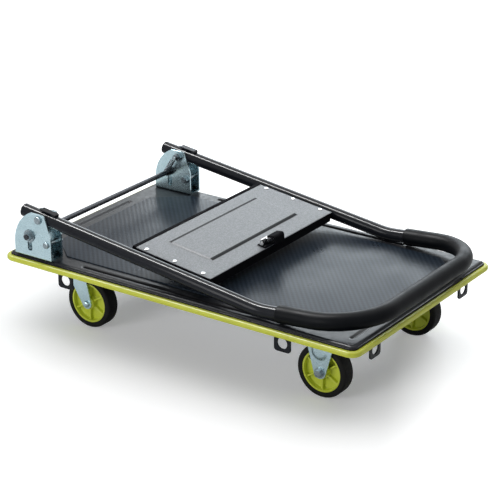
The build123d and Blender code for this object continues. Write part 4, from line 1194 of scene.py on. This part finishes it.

# %% [markdown]
# ## Springs
# Each return spring hooks over a stub on the pivot bolt and under the release rod. Its wire follows a
# hook, a helix and a second hook, so a circle carried along that line makes it. The spring is drawn once,
# at rest.


# %% Wire along any line
def carried_sides(tangent):
    """Side axes that turn as little as they can: each is the last one with the new tangent taken out."""
    side = np.cross(tangent[0], [0.31, 0.52, 0.79])
    sides = []
    for along in tangent:
        side = unit(side - along * (side @ along))
        sides.append(side)
    return np.array(sides)


def wire_piece(name, line, thickness, finish, body=None, instead_of=(), around=12):
    """A round wire along a line: circles on carried axes."""
    tangent = unit(np.gradient(line, axis=0))
    side = carried_sides(tangent)
    points = circles(line, side, np.cross(tangent, side), thickness / 2, around)
    return new_piece(name, points, capped(len(line), around), finish, body, instead_of, sharp=60)


print("wire helpers:", [helper.__name__ for helper in (carried_sides, wire_piece)])

# %% One spring's middle line
COIL = 4.2
WIRE = 2.0
COILS = 8
COIL_STEPS = 28
TOP_HOOK = 5.3
LOW_HOOK = 6.3
DROP = np.array([-23.0, 0.0, -35.6])
SPAN = np.linalg.norm(DROP)
DOWN = DROP / SPAN
ASIDE = np.cross(ACROSS, DOWN)
HOOK_Y = 188.0


def hook_arc(radius, first, last, middle, steps=26):
    """Points of an arc in the plane of the hook, as (aside, down) pairs."""
    angle = np.radians(np.linspace(first, last, steps))
    return np.stack([radius * np.cos(angle), middle + radius * np.sin(angle)], 1)


winding = np.linspace(0, FULL_TURN * COILS, COILS * COIL_STEPS)[1:-1]
along_coils = TOP_HOOK + (SPAN - TOP_HOOK - LOW_HOOK) * winding / winding[-1]
top_hook = np.concatenate([[(-TOP_HOOK, WIRE)], hook_arc(TOP_HOOK, 180, 450, 0)])
low_hook = np.concatenate([hook_arc(LOW_HOOK, 270, 0, SPAN), [(LOW_HOOK, SPAN - WIRE)]])
turns = np.stack([-COIL * np.sin(winding), along_coils], 1)
in_plane = np.concatenate([top_hook, turns, low_hook])
hook_out = [np.full(len(hook), COIL) for hook in (top_hook, low_hook)]
out_of_plane = np.concatenate([hook_out[0], COIL * np.cos(winding), hook_out[1]])
far_line = PIVOT + (HOOK_Y - COIL + out_of_plane)[:, None] * ACROSS
far_line = far_line + in_plane[:, :1] * ASIDE + in_plane[:, 1:] * DOWN
print("spring line points:", len(far_line), "between hooks", round(SPAN, 1), "mm apart")

# %% Return springs
for spot, spring_line in (("near", far_line * MIRRORED), ("far", far_line)):
    spring = wire_piece("pull_spring_" + spot, spring_line, WIRE, dark_steel)
    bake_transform(spring)
    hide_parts("return_spring_" + spot)

# %% [markdown]
# The clip has a small torsion coil beside its jaw. Its wire runs in from a leg on the base, goes four and
# a half times round the pin while it creeps sideways, and leaves in a second leg along the wing. The same
# wire function makes it, so only its middle line is new.

# %% Clip coil
PIN_X = 361
PIN_Z = 17
CLIP_COIL = 4.4
CREEP = 2.3
CLIP_TURNS = 4.5
CLIP_WIRE = 1.6
CLIP_STEPS = 190
LEG_LINE = np.linspace(0.5, 7, 6)
coil_side = box_of("clip_spring")[0][1] + CLIP_WIRE / 2
winding = np.linspace(0, FULL_TURN * CLIP_TURNS, CLIP_STEPS)
creep = CREEP * winding / FULL_TURN
coil = np.stack([-CLIP_COIL * np.sin(winding), creep, -CLIP_COIL * np.cos(winding)], 1)
leg_in = np.stack([LEG_LINE[::-1], np.zeros(6), np.full(6, -CLIP_COIL)], 1)
leg_out = np.stack([LEG_LINE, np.full(6, CREEP * CLIP_TURNS), np.full(6, CLIP_COIL)], 1)
coil_line = on_handle(np.concatenate([leg_in, coil, leg_out]) + (PIN_X, coil_side, PIN_Z))
wire_piece("clip_coil", coil_line, CLIP_WIRE, tube_coat, "handle", ["clip_spring"])
